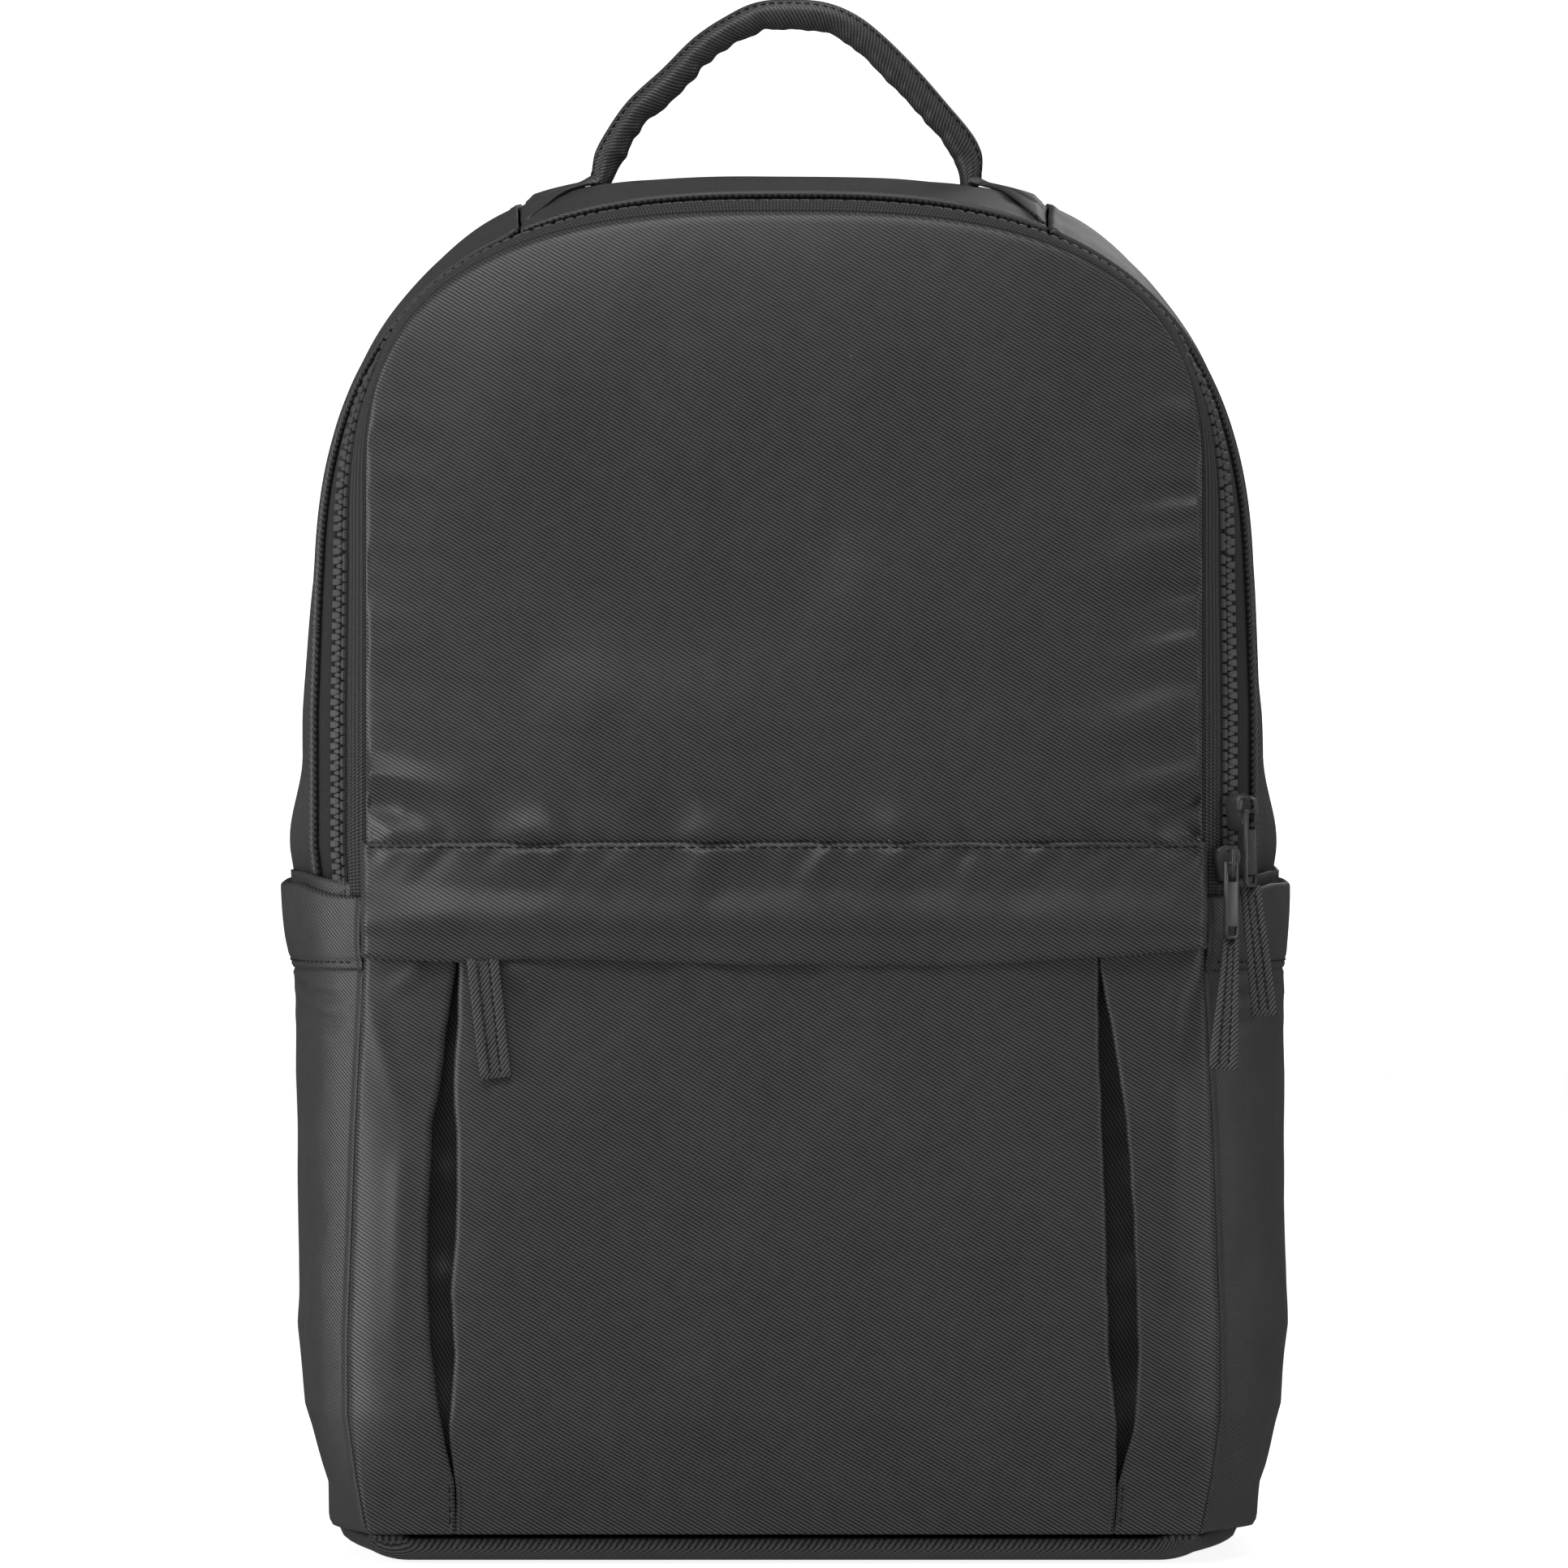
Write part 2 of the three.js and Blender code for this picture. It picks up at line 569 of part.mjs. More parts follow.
// A slider body with its bail, modelled along +X and then turned about Z
function makeSlider() {
  const half = SLIDER.width / 2;
  const body = new THREE.Shape();
  body.moveTo(-half * 0.6, -SLIDER.length / 2);
  body.lineTo(half * 0.6, -SLIDER.length / 2);
  body.lineTo(half, SLIDER.length * 0.2);
  body.quadraticCurveTo(half, SLIDER.length / 2, 0, SLIDER.length / 2);
  body.quadraticCurveTo(-half, SLIDER.length / 2, -half, SLIDER.length * 0.2);
  body.closePath();
  const block = new THREE.ExtrudeGeometry(body, {
    depth: SLIDER.height,
    bevelEnabled: false,
    curveSegments: 3,
  });
  const rise = SLIDER.height + SLIDER.bail;
  const reach = SLIDER.length * 0.36;
  const loop = new THREE.CatmullRomCurve3([
    new THREE.Vector3(0, -reach, SLIDER.height - 1),
    new THREE.Vector3(0, -reach, rise - 1),
    new THREE.Vector3(0, 0, rise),
    new THREE.Vector3(0, reach, rise - 1),
    new THREE.Vector3(0, reach, SLIDER.height - 1),
  ]);
  const wire = new THREE.Shape();
  wire.absarc(0, 0, SLIDER.wire, 0, 2 * Math.PI);
  const bail = new THREE.ExtrudeGeometry(wire, { steps: 10, curveSegments: 3, extrudePath: loop });
  return geometryOf(solidOf(block).add(solidOf(bail)));
}

// A tapered pull with a window for the bail and a slot for its ribbon
function makePuller() {
  const { length, topWidth, endWidth, wall, bar } = PULLER;
  const plate = new THREE.Shape();
  plate.moveTo(-topWidth / 2, 0);
  plate.lineTo(-topWidth / 2, -length * 0.3);
  plate.lineTo(-endWidth / 2, -length * 0.94);
  plate.lineTo(-endWidth / 2 + 1, -length);
  plate.lineTo(endWidth / 2 - 1, -length);
  plate.lineTo(endWidth / 2, -length * 0.94);
  plate.lineTo(topWidth / 2, -length * 0.3);
  plate.lineTo(topWidth / 2, 0);
  const window = new THREE.Path();
  window.moveTo(-topWidth / 2 + bar, -bar);
  window.lineTo(topWidth / 2 - bar, -bar);
  window.lineTo(topWidth / 2 - bar, -length * 0.26);
  window.lineTo(-topWidth / 2 + bar, -length * 0.26);
  plate.holes.push(window);
  const slot = new THREE.Path();
  slot.moveTo(-endWidth / 2 + bar, -length * 0.84);
  slot.lineTo(endWidth / 2 - bar, -length * 0.84);
  slot.lineTo(endWidth / 2 - bar - 0.4, -length + bar);
  slot.lineTo(-endWidth / 2 + bar + 0.4, -length + bar);
  plate.holes.push(slot);
  const geometry = new THREE.ExtrudeGeometry(plate, { depth: wall, bevelEnabled: false });
  return geometry.translate(0, 0, -wall / 2);
}

// Seats a slider on the chain, hangs its pull in the bail and its ribbon under the pull
function addSlider(name, z, { turn, pullTurn, seatShare, seatGap, sway }) {
  const angle = THREE.MathUtils.degToRad(turn);
  const outward = new THREE.Vector3(Math.cos(angle), -Math.sin(angle), 0);
  const seat = chainSeat(z, seatShare).addScaledVector(outward, seatGap);
  const basis = new THREE.Matrix4().makeBasis(
    new THREE.Vector3(Math.sin(angle), Math.cos(angle), 0),
    new THREE.Vector3(0, 0, 1),
    outward,
  );
  const slider = addPiece(`slider_${name}`, makeSlider(), METAL_COLOUR, 0.3, 0.9);
  slider.position.copy(seat);
  slider.quaternion.setFromRotationMatrix(basis);
  const hook = seat.clone().addScaledVector(outward, SLIDER.height + SLIDER.bail * 0.52);
  hook.z += PULLER.wall / 2;
  const pull = addPiece(`puller_${name}`, makePuller(), METAL_COLOUR, 0.3, 0.9);
  const hang = THREE.MathUtils.degToRad(pullTurn);
  const pullOut = new THREE.Vector3(Math.cos(hang), -Math.sin(hang), 0);
  const pullAcross = new THREE.Vector3(Math.sin(hang), Math.cos(hang), 0);
  const pullBasis = new THREE.Matrix4().makeBasis(pullAcross, new THREE.Vector3(0, 0, 1), pullOut);
  pull.position.copy(hook);
  pull.quaternion.setFromRotationMatrix(pullBasis);
  const top = hook.clone();
  top.z -= PULLER.length + GAP;
  const middle = top.clone().add(new THREE.Vector3(sway.x * 0.4, sway.y * 0.5, -RIBBON_LENGTH / 2));
  const end = top.clone().add(new THREE.Vector3(sway.x, sway.y, -RIBBON_LENGTH));
  const fall = new THREE.CatmullRomCurve3([top, middle, end]);
  const ribbon = strip(fall, new THREE.Vector3(1, 0, 0), 5, RIBBON_WIDTH, RIBBON_WALL, 2);
  addPiece(`ribbon_${name}`, ribbon, DARK_COLOUR, 0.7);
}

function makePocketRibbon() {
  const { x, width, length, lean } = POCKET_RIBBON;
  const lowEdge = FLAP_SEAM_HEIGHT - FLAP_DROP;
  const points = [0, 0.5, 1].map((share) => {
    const z = lowEdge - 3 * GAP - length * share;
    const spot = x + lean * share;
    return new THREE.Vector3(spot, pocketY(spot, z) - CENTRE_LOFT - GAP - RIBBON_WALL, z);
  });
  const curve = new THREE.CatmullRomCurve3(points);
  return strip(curve, new THREE.Vector3(1, 0, 0), 6, width, RIBBON_WALL, 2);
}

function strapPoints(side) {
  return STRAP_ROWS.map((row) => {
    const x = mix(STRAP_TOP_X, STRAP_END_X, row.outward);
    const z = mix(STRAP_TOP_HEIGHT, STRAP_END_HEIGHT, row.drop);
    const y = BACK_Y + GAP + BACK_PAD + GAP + STRAP_WALL / 2 + STRAP_BOW * row.bow;
    return new THREE.Vector3(side * x, y, z);
  });
}

// A padded shoulder strap with its adjuster, its lower webbing and the tab that holds it
function addStrap(side, name) {
  const across = new THREE.Vector3(1, 0, 0);
  const points = strapPoints(side);
  const curve = new THREE.CatmullRomCurve3(points, false, 'centripetal');
  addPiece(`strap_${name}`, strip(curve, across, 20, STRAP_WIDTH, STRAP_WALL, 4, 0.45));
  const end = curve.getPoint(1);
  const tangent = curve.getTangent(1);
  const plate = new THREE.Shape();
  const halfWidth = ADJUSTER.width / 2;
  plate.moveTo(-halfWidth, 0);
  plate.lineTo(-halfWidth, -ADJUSTER.length);
  plate.lineTo(halfWidth, -ADJUSTER.length);
  plate.lineTo(halfWidth, 0);
  for (const start of ADJUSTER.slotStarts) {
    const slot = new THREE.Path();
    const low = -start - ADJUSTER.slot;
    slot.moveTo(-WEBBING_WIDTH / 2, -start);
    slot.lineTo(WEBBING_WIDTH / 2, -start);
    slot.lineTo(WEBBING_WIDTH / 2, low);
    slot.lineTo(-WEBBING_WIDTH / 2, low);
    plate.holes.push(slot);
  }
  const frame = new THREE.ExtrudeGeometry(plate, { depth: ADJUSTER.wall, bevelEnabled: false });
  frame.translate(0, -GAP, -ADJUSTER.wall / 2);
  const adjuster = addPiece(`strap_adjuster_${name}`, frame, METAL_COLOUR, 0.5);
  const wide = across.clone().addScaledVector(tangent, -across.dot(tangent)).normalize();
  const out = new THREE.Vector3().crossVectors(wide, tangent.clone().negate());
  const adjusterBasis = new THREE.Matrix4().makeBasis(wide, tangent.clone().negate(), out);
  adjuster.position.copy(end);
  adjuster.quaternion.setFromRotationMatrix(adjusterBasis);
  const webStart = end.clone().addScaledVector(tangent, ADJUSTER.length + 2 * GAP);
  const anchorTop = ANCHOR_HEIGHT + WEBBING_WIDTH / 2;
  const anchorY = backY(ANCHOR_X - WEBBING_WIDTH, anchorTop) + GAP + CLOTH;
  const webEnd = new THREE.Vector3(side * ANCHOR_X, anchorY, anchorTop);
  const webCurve = new THREE.CatmullRomCurve3([
    webStart,
    webStart.clone().addScaledVector(tangent, WEBBING_WIDTH / 2),
    webEnd.clone().lerp(webStart, 0.35).add(new THREE.Vector3(0, WEBBING_WIDTH / 5, 0)),
    webEnd,
  ], false, 'centripetal');
  const webbing = strip(webCurve, across, 12, WEBBING_WIDTH, WEBBING_WALL);
  addPiece(`strap_webbing_${name}`, webbing, DARK_COLOUR, 0.75);
  const tab = new THREE.Shape();
  tab.moveTo(-WEBBING_WIDTH * 0.6, 0);
  tab.lineTo(WEBBING_WIDTH * 0.6, 0);
  tab.lineTo(WEBBING_WIDTH * 0.5, -ANCHOR_HEIGHT * 0.6);
  tab.lineTo(-WEBBING_WIDTH * 0.5, -ANCHOR_HEIGHT * 0.6);
  const tabBody = new THREE.ExtrudeGeometry(tab, { depth: 2 * CLOTH, bevelEnabled: false });
  tabBody.translate(0, -4 * GAP, -CLOTH);
  const anchor = addPiece(`strap_anchor_${name}`, tabBody);
  const lean = webCurve.getTangent(1).setY(0).normalize();
  const level = new THREE.Vector3(-lean.z, 0, lean.x);
  anchor.position.copy(webEnd);
  const facing = new THREE.Vector3(0, -1, 0);
  const anchorBasis = new THREE.Matrix4().makeBasis(level, lean.clone().negate(), facing);
  anchor.quaternion.setFromRotationMatrix(anchorBasis);
}

addPiece('front_panel', makeFrontPanel());
addPiece('pocket_centre_panel', makeCentrePanel());
addPiece('flap_band', makeFlap());
addPiece('pocket_zip', makePocketZip(), DARK_COLOUR, 0.8);
addPiece('pocket_slider', makePocketSlider(), METAL_COLOUR, 0.3, 0.9);
addPiece('pocket_ribbon', makePocketRibbon(), DARK_COLOUR, 0.7);
addPiece('bottom_panel', makeBottom());
addPiece('back_panel', makeBackPanel());

const tape = makeBandStrip(44, 1, tapeStart, chainStart - GAP, ZIP_WALL, wholeStart, wholeEnd, zipFoot);
addPiece('zip_tape_front', tape, DARK_COLOUR, 0.8);
const chain = makeBandStrip(44, 1, chainStart, chainEnd, CHAIN_HEIGHT, wholeStart, wholeEnd, zipFoot, GAP);
addPiece('zip_chain', chain, METAL_COLOUR, 0.4);
const backTape = makeBandStrip(44, 1, chainEnd + GAP, gussetStart, ZIP_WALL, wholeStart, wholeEnd, zipFoot);
addPiece('zip_tape_back', backTape, DARK_COLOUR, 0.7);
const topEnd = seamAlong(0);
const topStart = (share) => -topEnd(share);
const topStrip = makeBandStrip(16, 5, gussetStart + GAP, BACK_Y, CLOTH, topStart, topEnd, WALL_FOOT);
addPiece('top_gusset', topStrip);

for (const [side, name] of [[-1, 'left'], [1, 'right']]) {
  const hemFoot = SIDE_POCKET_HEIGHT - HEM_HEIGHT;
  addPiece(`side_gusset_${name}`, makeSideGusset(side));
  addPiece(`zip_end_strip_${name}`, makeLowerStrip(side));
  addPiece(`pocket_side_${name}`, makePocketSide(side));
  addPiece(`pleat_underlay_${name}`, makeUnderlay(side), DARK_COLOUR, 0.7);
  addPiece(`side_pocket_${name}`, makeSidePocket(side, WALL_FOOT, hemFoot - GAP, 9, 0));
  addPiece(`side_hem_${name}`, makeSidePocket(side, hemFoot, SIDE_POCKET_HEIGHT, 2, GAP));
  addPiece(`handle_tail_${name}`, makeHandleTail(side));
  addStrap(side, name);
}
addPiece('grab_handle', makeHandle());
const lowerSliderHeight = SIDE_POCKET_HEIGHT + SLIDER_ABOVE_POCKET;
addSlider('upper', lowerSliderHeight + SLIDER_SPACING, UPPER_SLIDER);
addSlider('lower', lowerSliderHeight, LOWER_SLIDER);

export default bag;
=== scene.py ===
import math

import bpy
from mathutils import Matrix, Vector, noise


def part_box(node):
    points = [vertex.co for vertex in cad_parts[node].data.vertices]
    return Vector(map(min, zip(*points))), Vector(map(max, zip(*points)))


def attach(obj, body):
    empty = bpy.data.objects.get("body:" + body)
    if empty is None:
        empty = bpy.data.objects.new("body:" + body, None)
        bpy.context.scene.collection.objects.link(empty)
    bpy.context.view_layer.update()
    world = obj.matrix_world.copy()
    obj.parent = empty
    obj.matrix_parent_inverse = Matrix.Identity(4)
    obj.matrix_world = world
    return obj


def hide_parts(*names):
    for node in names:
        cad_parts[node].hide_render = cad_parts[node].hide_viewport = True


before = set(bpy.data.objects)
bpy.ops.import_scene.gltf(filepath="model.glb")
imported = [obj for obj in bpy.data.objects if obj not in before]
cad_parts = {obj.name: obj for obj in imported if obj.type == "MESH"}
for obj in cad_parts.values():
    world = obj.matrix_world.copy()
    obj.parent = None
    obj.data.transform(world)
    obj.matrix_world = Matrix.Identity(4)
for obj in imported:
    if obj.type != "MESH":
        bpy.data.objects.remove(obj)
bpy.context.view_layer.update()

# Laptop backpack: satin twill cloth over the construction's frame.
# The shape functions work in millimetres, and every mesh is written in metres.
# The front faces -Y, the shoulder straps hang on the +Y side, and +Z is up.

MM = 0.001
ACROSS = Vector((1, 0, 0))
REARWARD = Vector((0, 1, 0))
FORWARD = Vector((0, -1, 0))
SIDES = ((-1, "left"), (1, "right"))


def table(names, *rows):
    """Rows of a table whose columns are named once."""
    return [dict(zip(names.split(), row)) for row in rows]


def node_box(node):
    """The lowest and highest corners of a node, in millimetres."""
    low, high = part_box(node)
    return [value / MM for value in low], [value / MM for value in high]


# Sizes of the frame that the cloth follows
FRONT_LOW, FRONT_HIGH = node_box("front_panel")
BACK_LOW, BACK_HIGH = node_box("back_panel")
TAPE_LOW, TAPE_HIGH = node_box("zip_tape_front")
CHAIN_LOW, CHAIN_HIGH = node_box("zip_chain")
REAR_TAPE_LOW, REAR_TAPE_HIGH = node_box("zip_tape_back")
HEM_LOW, HEM_HIGH = node_box("side_hem_right")
FLAP_SEAM = node_box("flap_band")[1][2]
CENTRE_HIGH = node_box("pocket_centre_panel")[1]
HANDLE_LOW, HANDLE_HIGH = node_box("grab_handle")
TAIL_LOW, TAIL_HIGH = node_box("handle_tail_right")

CLOTH = 2.0
GAP = 0.3
BAG_DEPTH = 2 * node_box("side_gusset_right")[1][1]
FRONT_Y = -BAG_DEPTH / 2
BACK_Y = BAG_DEPTH / 2
FRONT_HALF_WIDTH = FRONT_HIGH[0]
BACK_HALF_WIDTH = 150.0
FRONT_TOP = FRONT_HIGH[2]
BACK_TOP = BACK_HIGH[2]
FRONT_ARCH_RISE = 84.0
BACK_ARCH_RISE = 150.0
ARCH_POWER = 2.7
SIDE_FLARE_POWER = 7.0
TOP_FLARE_POWER = 2.5
WALL_FOOT = FRONT_LOW[2]

FRONT_CROWN = 8.0
EDGE_ROLL = 1.8
POCKET_TOP = CENTRE_HIGH[2]
POCKET_BULGE = 14.0
CENTRE_HALF_WIDTH = CENTRE_HIGH[0]
CENTRE_LOFT = 2.0
CROWN_START = POCKET_TOP + 2.2
CROWN_FULL = FLAP_SEAM + 8.0
SIDE_POCKET_TOP = HEM_HIGH[2]
HEM_FOOT = HEM_LOW[2]
POCKET_BACK_TURN = 0.12
CROSS_SEAM_X = 82.0
HANDLE_Y = (HANDLE_LOW[1] + HANDLE_HIGH[1]) / 2
HANDLE_RADIUS = (HANDLE_HIGH[1] - HANDLE_LOW[1]) / 2
BACK_PAD = BACK_HIGH[1] - BACK_LOW[1]

# How far the front cloth swells, folds and gathers, in millimetres or as a factor on its folds
SEAM_BULGE = 5.2
SEAM_PROUD = 1.3
PANEL_FOLD_FACTOR = 2.4
FINE_GATHERS = 0.9
BROAD_GATHERS = 3.0
FLAP_HALF_WIDTH = FRONT_HALF_WIDTH + 1.4
FLAP_BELLY = 2.3
PLEAT_UNDERLAP = 6
PLEAT_DIP = 4.6
# How far an edge is turned under, as a share of a half turn
EDGE_TURN = 0.9

# Shares of the front top height, and of the half width that each column names
SIDE_ROWS = table(
    "height front back pocket_front pocket_side",
    (0.000, 0.95, 0.880, 0.985, 0.900),
    (0.030, 0.99, 0.905, 1.000, 0.928),
    (0.065, 1.00, 0.935, 1.020, 0.972),
    (0.110, 1.00, 0.955, 1.040, 1.020),
    (0.170, 1.00, 0.968, 1.040, 1.045),
    (0.320, 1.00, 0.970, 1.022, 1.048),
    (0.440, 1.00, 0.975, 1.002, 1.055),
    (0.500, 1.00, 1.000, 1.000, 1.070),
    (0.530, 1.00, 1.014, 1.000, 1.075),
    (0.630, 1.00, 1.014, 1.000, 1.075),
    (0.740, 1.00, 1.000, 1.000, 1.075),
    (1.100, 1.00, 1.000, 1.000, 1.075),
)

# The pleats: height, and the x of the two folded edges on each side
PLEAT_ROWS = table(
    "height left_in left_out right_in right_out",
    (9.0, -101.0, -101.3, 101.5, 101.8),
    (25.0, -101.0, -101.4, 102.3, 102.7),
    (44.0, -103.0, -105.2, 102.0, 107.6),
    (66.0, -101.2, -108.2, 99.8, 108.6),
    (84.0, -102.2, -109.2, 99.2, 108.2),
    (108.0, -100.6, -109.4, 98.8, 107.2),
    (136.0, -100.8, -108.0, 97.6, 105.0),
    (150.0, -101.6, -105.4, 97.2, 103.2),
    (168.0, -100.4, -103.4, 96.8, 100.2),
    (184.0, -100.3, -100.8, 96.6, 97.0),
    (196.0, -100.3, -100.7, 96.6, 97.0),
)

# The flap's free edge: x and height
FLAP_EDGE_ROWS = table(
    "x height",
    (-130.0, 187.0),
    (-114.0, 186.4),
    (-101.0, 185.7),
    (-80.0, 186.8),
    (-59.0, 186.5),
    (-17.0, 185.1),
    (58.0, 184.8),
    (78.0, 186.3),
    (96.0, 187.2),
    (130.0, 189.8),
)

# Soft folds of the front panel, from one end to the other, with their half width and lift
PANEL_FOLDS = table(
    "x0 z0 x1 z1 half lift",
    (132, 327, 98, 322, 3.2, 1.1),
    (132, 316, 76, 300, 7.0, 1.5),
    (132, 297, 108, 295, 2.6, 0.9),
    (132, 286, 100, 281, 3.0, 1.1),
    (132, 266, 66, 250, 7.0, 1.7),
    (132, 354, 106, 362, 5.0, 0.9),
    (130, 243, 84, 235, 4.2, 1.7),
    (128, 235, 100, 229, 2.8, -0.9),
    (-130, 243, -92, 236, 4.4, 1.7),
    (-128, 234, -104, 229, 2.8, -0.8),
    (-60, 268, 40, 246, 16.0, 0.9),
    (20, 300, 104, 280, 20.0, 1.1),
    (-90, 360, 40, 372, 22.0, 0.8),
)

# How strongly each side seam gathers the front panel, by height
SIDE_GATHERS = table(
    "height left right",
    (222, 0.5, 0.9),
    (245, 0.6, 1.0),
    (265, 0.3, 0.9),
    (290, 0.3, 1.2),
    (325, 0.3, 1.1),
    (350, 0.2, 0.6),
    (375, 0.1, 0.5),
    (400, 0.0, 0.0),
)

# Soft folds of the pocket's centre panel and side panels
POCKET_FOLDS = table(
    "x0 z0 x1 z1 half lift",
    (-84, 184, -58, 176, 3.6, 1.2),
    (-30, 186, -6, 176, 4.6, 1.1),
    (14, 188, 34, 176, 4.0, 1.4),
    (52, 188, 86, 180, 3.4, 1.0),
    (-96, 150, 20, 128, 16.0, 0.8),
    (-10, 96, 90, 70, 20.0, 0.9),
    (-112, 184, -126, 172, 3.0, 1.0),
    (-127, 170, -112, 120, 3.4, 1.0),
    (126, 186, 110, 150, 3.4, 1.2),
    (120, 168, 118, 60, 3.6, 1.0),
    (-118, 120, -120, 40, 3.4, 0.9),
    (104, 20, 126, 15, 3.2, -0.9),
)

# The handle's middle line: shares of its rise, and of its half span on each side
HANDLE_ROWS = table(
    "up left right",
    (0.000, 1.000, 1.000),
    (0.120, 0.968, 1.005),
    (0.250, 0.915, 0.965),
    (0.440, 0.795, 0.820),
    (0.620, 0.610, 0.670),
    (0.800, 0.440, 0.500),
    (0.920, 0.270, 0.355),
    (0.985, 0.140, 0.200),
    (1.000, 0.000, 0.040),
)


def mix(a, b, share):
    return a + (b - a) * share


def clamp(value, low=0.0, high=1.0):
    return min(high, max(low, value))


def smooth(value):
    value = clamp(value)
    return value * value * (3 - 2 * value)


def wave(x, y, z=0.0, size=20.0):
    """Smooth noise from about -1 to 1, its lumps about one size across."""
    return noise.noise(Vector((x / size, y / size, z / size)))


def column(rows, name, at):
    """Reads one column of a table at a value of its first column, straight between its rows."""
    first = next(iter(rows[0]))
    if at <= rows[0][first]:
        return rows[0][name]
    for low, high in zip(rows, rows[1:]):
        if at <= high[first]:
            share = (at - low[first]) / (high[first] - low[first])
            return mix(low[name], high[name], share)
    return rows[-1][name]


def folds(rows, x, z):
    """The lift that a table of folds gives at one point of a front face."""
    total = 0.0
    for row in rows:
        run_x = row["x1"] - row["x0"]
        run_z = row["z1"] - row["z0"]
        length = math.hypot(run_x, run_z)
        along = ((x - row["x0"]) * run_x + (z - row["z0"]) * run_z) / length
        side = ((x - row["x0"]) * run_z - (z - row["z0"]) * run_x) / length
        share = along / length
        if -0.2 < share < 1.0:
            fade = smooth((share + 0.2) / 0.25) * (1 - smooth(share))
            total += row["lift"] * fade * math.exp(-((side / row["half"]) ** 2))
    return total


def depth_share(y):
    """0 at the body's front seam and 1 at its back seam."""
    return clamp((y - FRONT_Y) / BAG_DEPTH)


def depth_y(share):
    return mix(FRONT_Y, BACK_Y, share)


def outline(share):
    """The body's outline at a depth share: flare, top, arch rise and spring line."""
    flare = 1 - (1 - share) ** SIDE_FLARE_POWER
    lift = 1 - (1 - share) ** TOP_FLARE_POWER
    top = mix(FRONT_TOP, BACK_TOP, lift)
    rise = mix(FRONT_ARCH_RISE, BACK_ARCH_RISE, flare)
    return flare, top, rise, top - rise


def side_half_width(z, share):
    """Half the body's width at a height and a depth share."""
    flare = outline(share)[0]
    front = FRONT_HALF_WIDTH * column(SIDE_ROWS, "front", z / FRONT_TOP)
    back = BACK_HALF_WIDTH * column(SIDE_ROWS, "back", z / FRONT_TOP)
    return mix(front, back, flare)


def reach_at(angle):
    """The arch's half width at an angle, as a share."""
    return math.copysign(abs(math.cos(angle)) ** (2 / ARCH_POWER), math.cos(angle))


def rise_at(angle):
    """The arch's height over its spring line at an angle, as a share."""
    return abs(math.sin(angle)) ** (2 / ARCH_POWER)


def arch_point(angle, share):
    """The x and z of the outline's arch at an angle."""
    _, _, rise, spring = outline(share)
    z = spring + rise * rise_at(angle)
    return reach_at(angle) * side_half_width(z, share), z


def arch_angle(x, share):
    """The angle at which the arch passes over x."""
    reach = x / side_half_width(FRONT_TOP, share)
    return math.acos(clamp(reach) ** (ARCH_POWER / 2))


def top_height(x, share):
    """Height of the top gusset's outer face over a point."""
    return arch_point(arch_angle(abs(x), share), share)[1]


def band_point(along, share, foot):
    """The outline as one path: -1 left foot, -0.5 to 0.5 over the arch, 1 right foot."""
    if abs(along) <= 0.5:
        return arch_point(math.pi * (0.5 - along), share)
    z = mix(outline(share)[3], foot, abs(along) * 2 - 1)
    return math.copysign(side_half_width(z, share), along), z


def band_offset(along, share, foot, offset):
    """A point of the outline moved outwards across the path."""
    step = 0.004
    x, z = band_point(along, share, foot)
    x0, z0 = band_point(max(-1, along - step), share, foot)
    x1, z1 = band_point(min(1, along + step), share, foot)
    length = math.hypot(x1 - x0, z1 - z0)
    return Vector((x - (z1 - z0) / length * offset, depth_y(share), z + (x1 - x0) / length * offset))


def face_reach(x, z, share):
    """How far a point of a face lies from its middle: 0 there and 1 on the outline."""
    _, _, rise, spring = outline(share)
    across = abs(x) / side_half_width(z, share)
    up = clamp((z - spring) / rise)
    return clamp((across ** ARCH_POWER + up ** ARCH_POWER) ** (1 / ARCH_POWER))


def front_y(x, z):
    """Outer face of the front panel, flat behind the pocket and crowned above it."""
    free = smooth((z - CROWN_START) / (CROWN_FULL - CROWN_START))
    return FRONT_Y - CLOTH - FRONT_CROWN * free * (1 - face_reach(x, z, 0) ** 4)


def pocket_half_width(z):
    """Half the front pocket's width at a height."""
    return FRONT_HALF_WIDTH * column(SIDE_ROWS, "pocket_front", z / FRONT_TOP)


def pocket_y(x, z):
    """The front pocket's outer face, which bulges below its mouth."""
    across = clamp(abs(x) / pocket_half_width(z))
    up = smooth((z - WALL_FOOT) / (POCKET_TOP * 0.2))
    bulge = POCKET_BULGE * up * (1 - across ** 9) * (1 - 0.5 * smooth((z - 90) / 104))
    return FRONT_Y - 2 * CLOTH - GAP - bulge


def side_pocket_half_width(z, share):
    """Half the width over the side pockets, which close onto the body behind."""
    flare = outline(share)[0]
    side = BACK_HALF_WIDTH * column(SIDE_ROWS, "pocket_side", z / FRONT_TOP)
    body = side_half_width(z, share) + CLOTH + GAP
    turn = smooth((1 - share) / POCKET_BACK_TURN)
    return mix(body, max(body, mix(pocket_half_width(z) + CLOTH, side, flare)), turn)


def puckers(x, distance, reach=11.0, lift=0.9):
    """Short gathers that a row of stitches pulls in, dying away from the seam."""
    fade = math.exp(-((distance / reach) ** 2)) * clamp(distance / 2.5)
    lean = x + 0.5 * distance
    gathers = wave(lean, 0.4 * distance, 3, 7.0) + 1.1 * wave(lean, 0.5 * distance + 40, 9, 14.0)
    return lift * fade * gathers


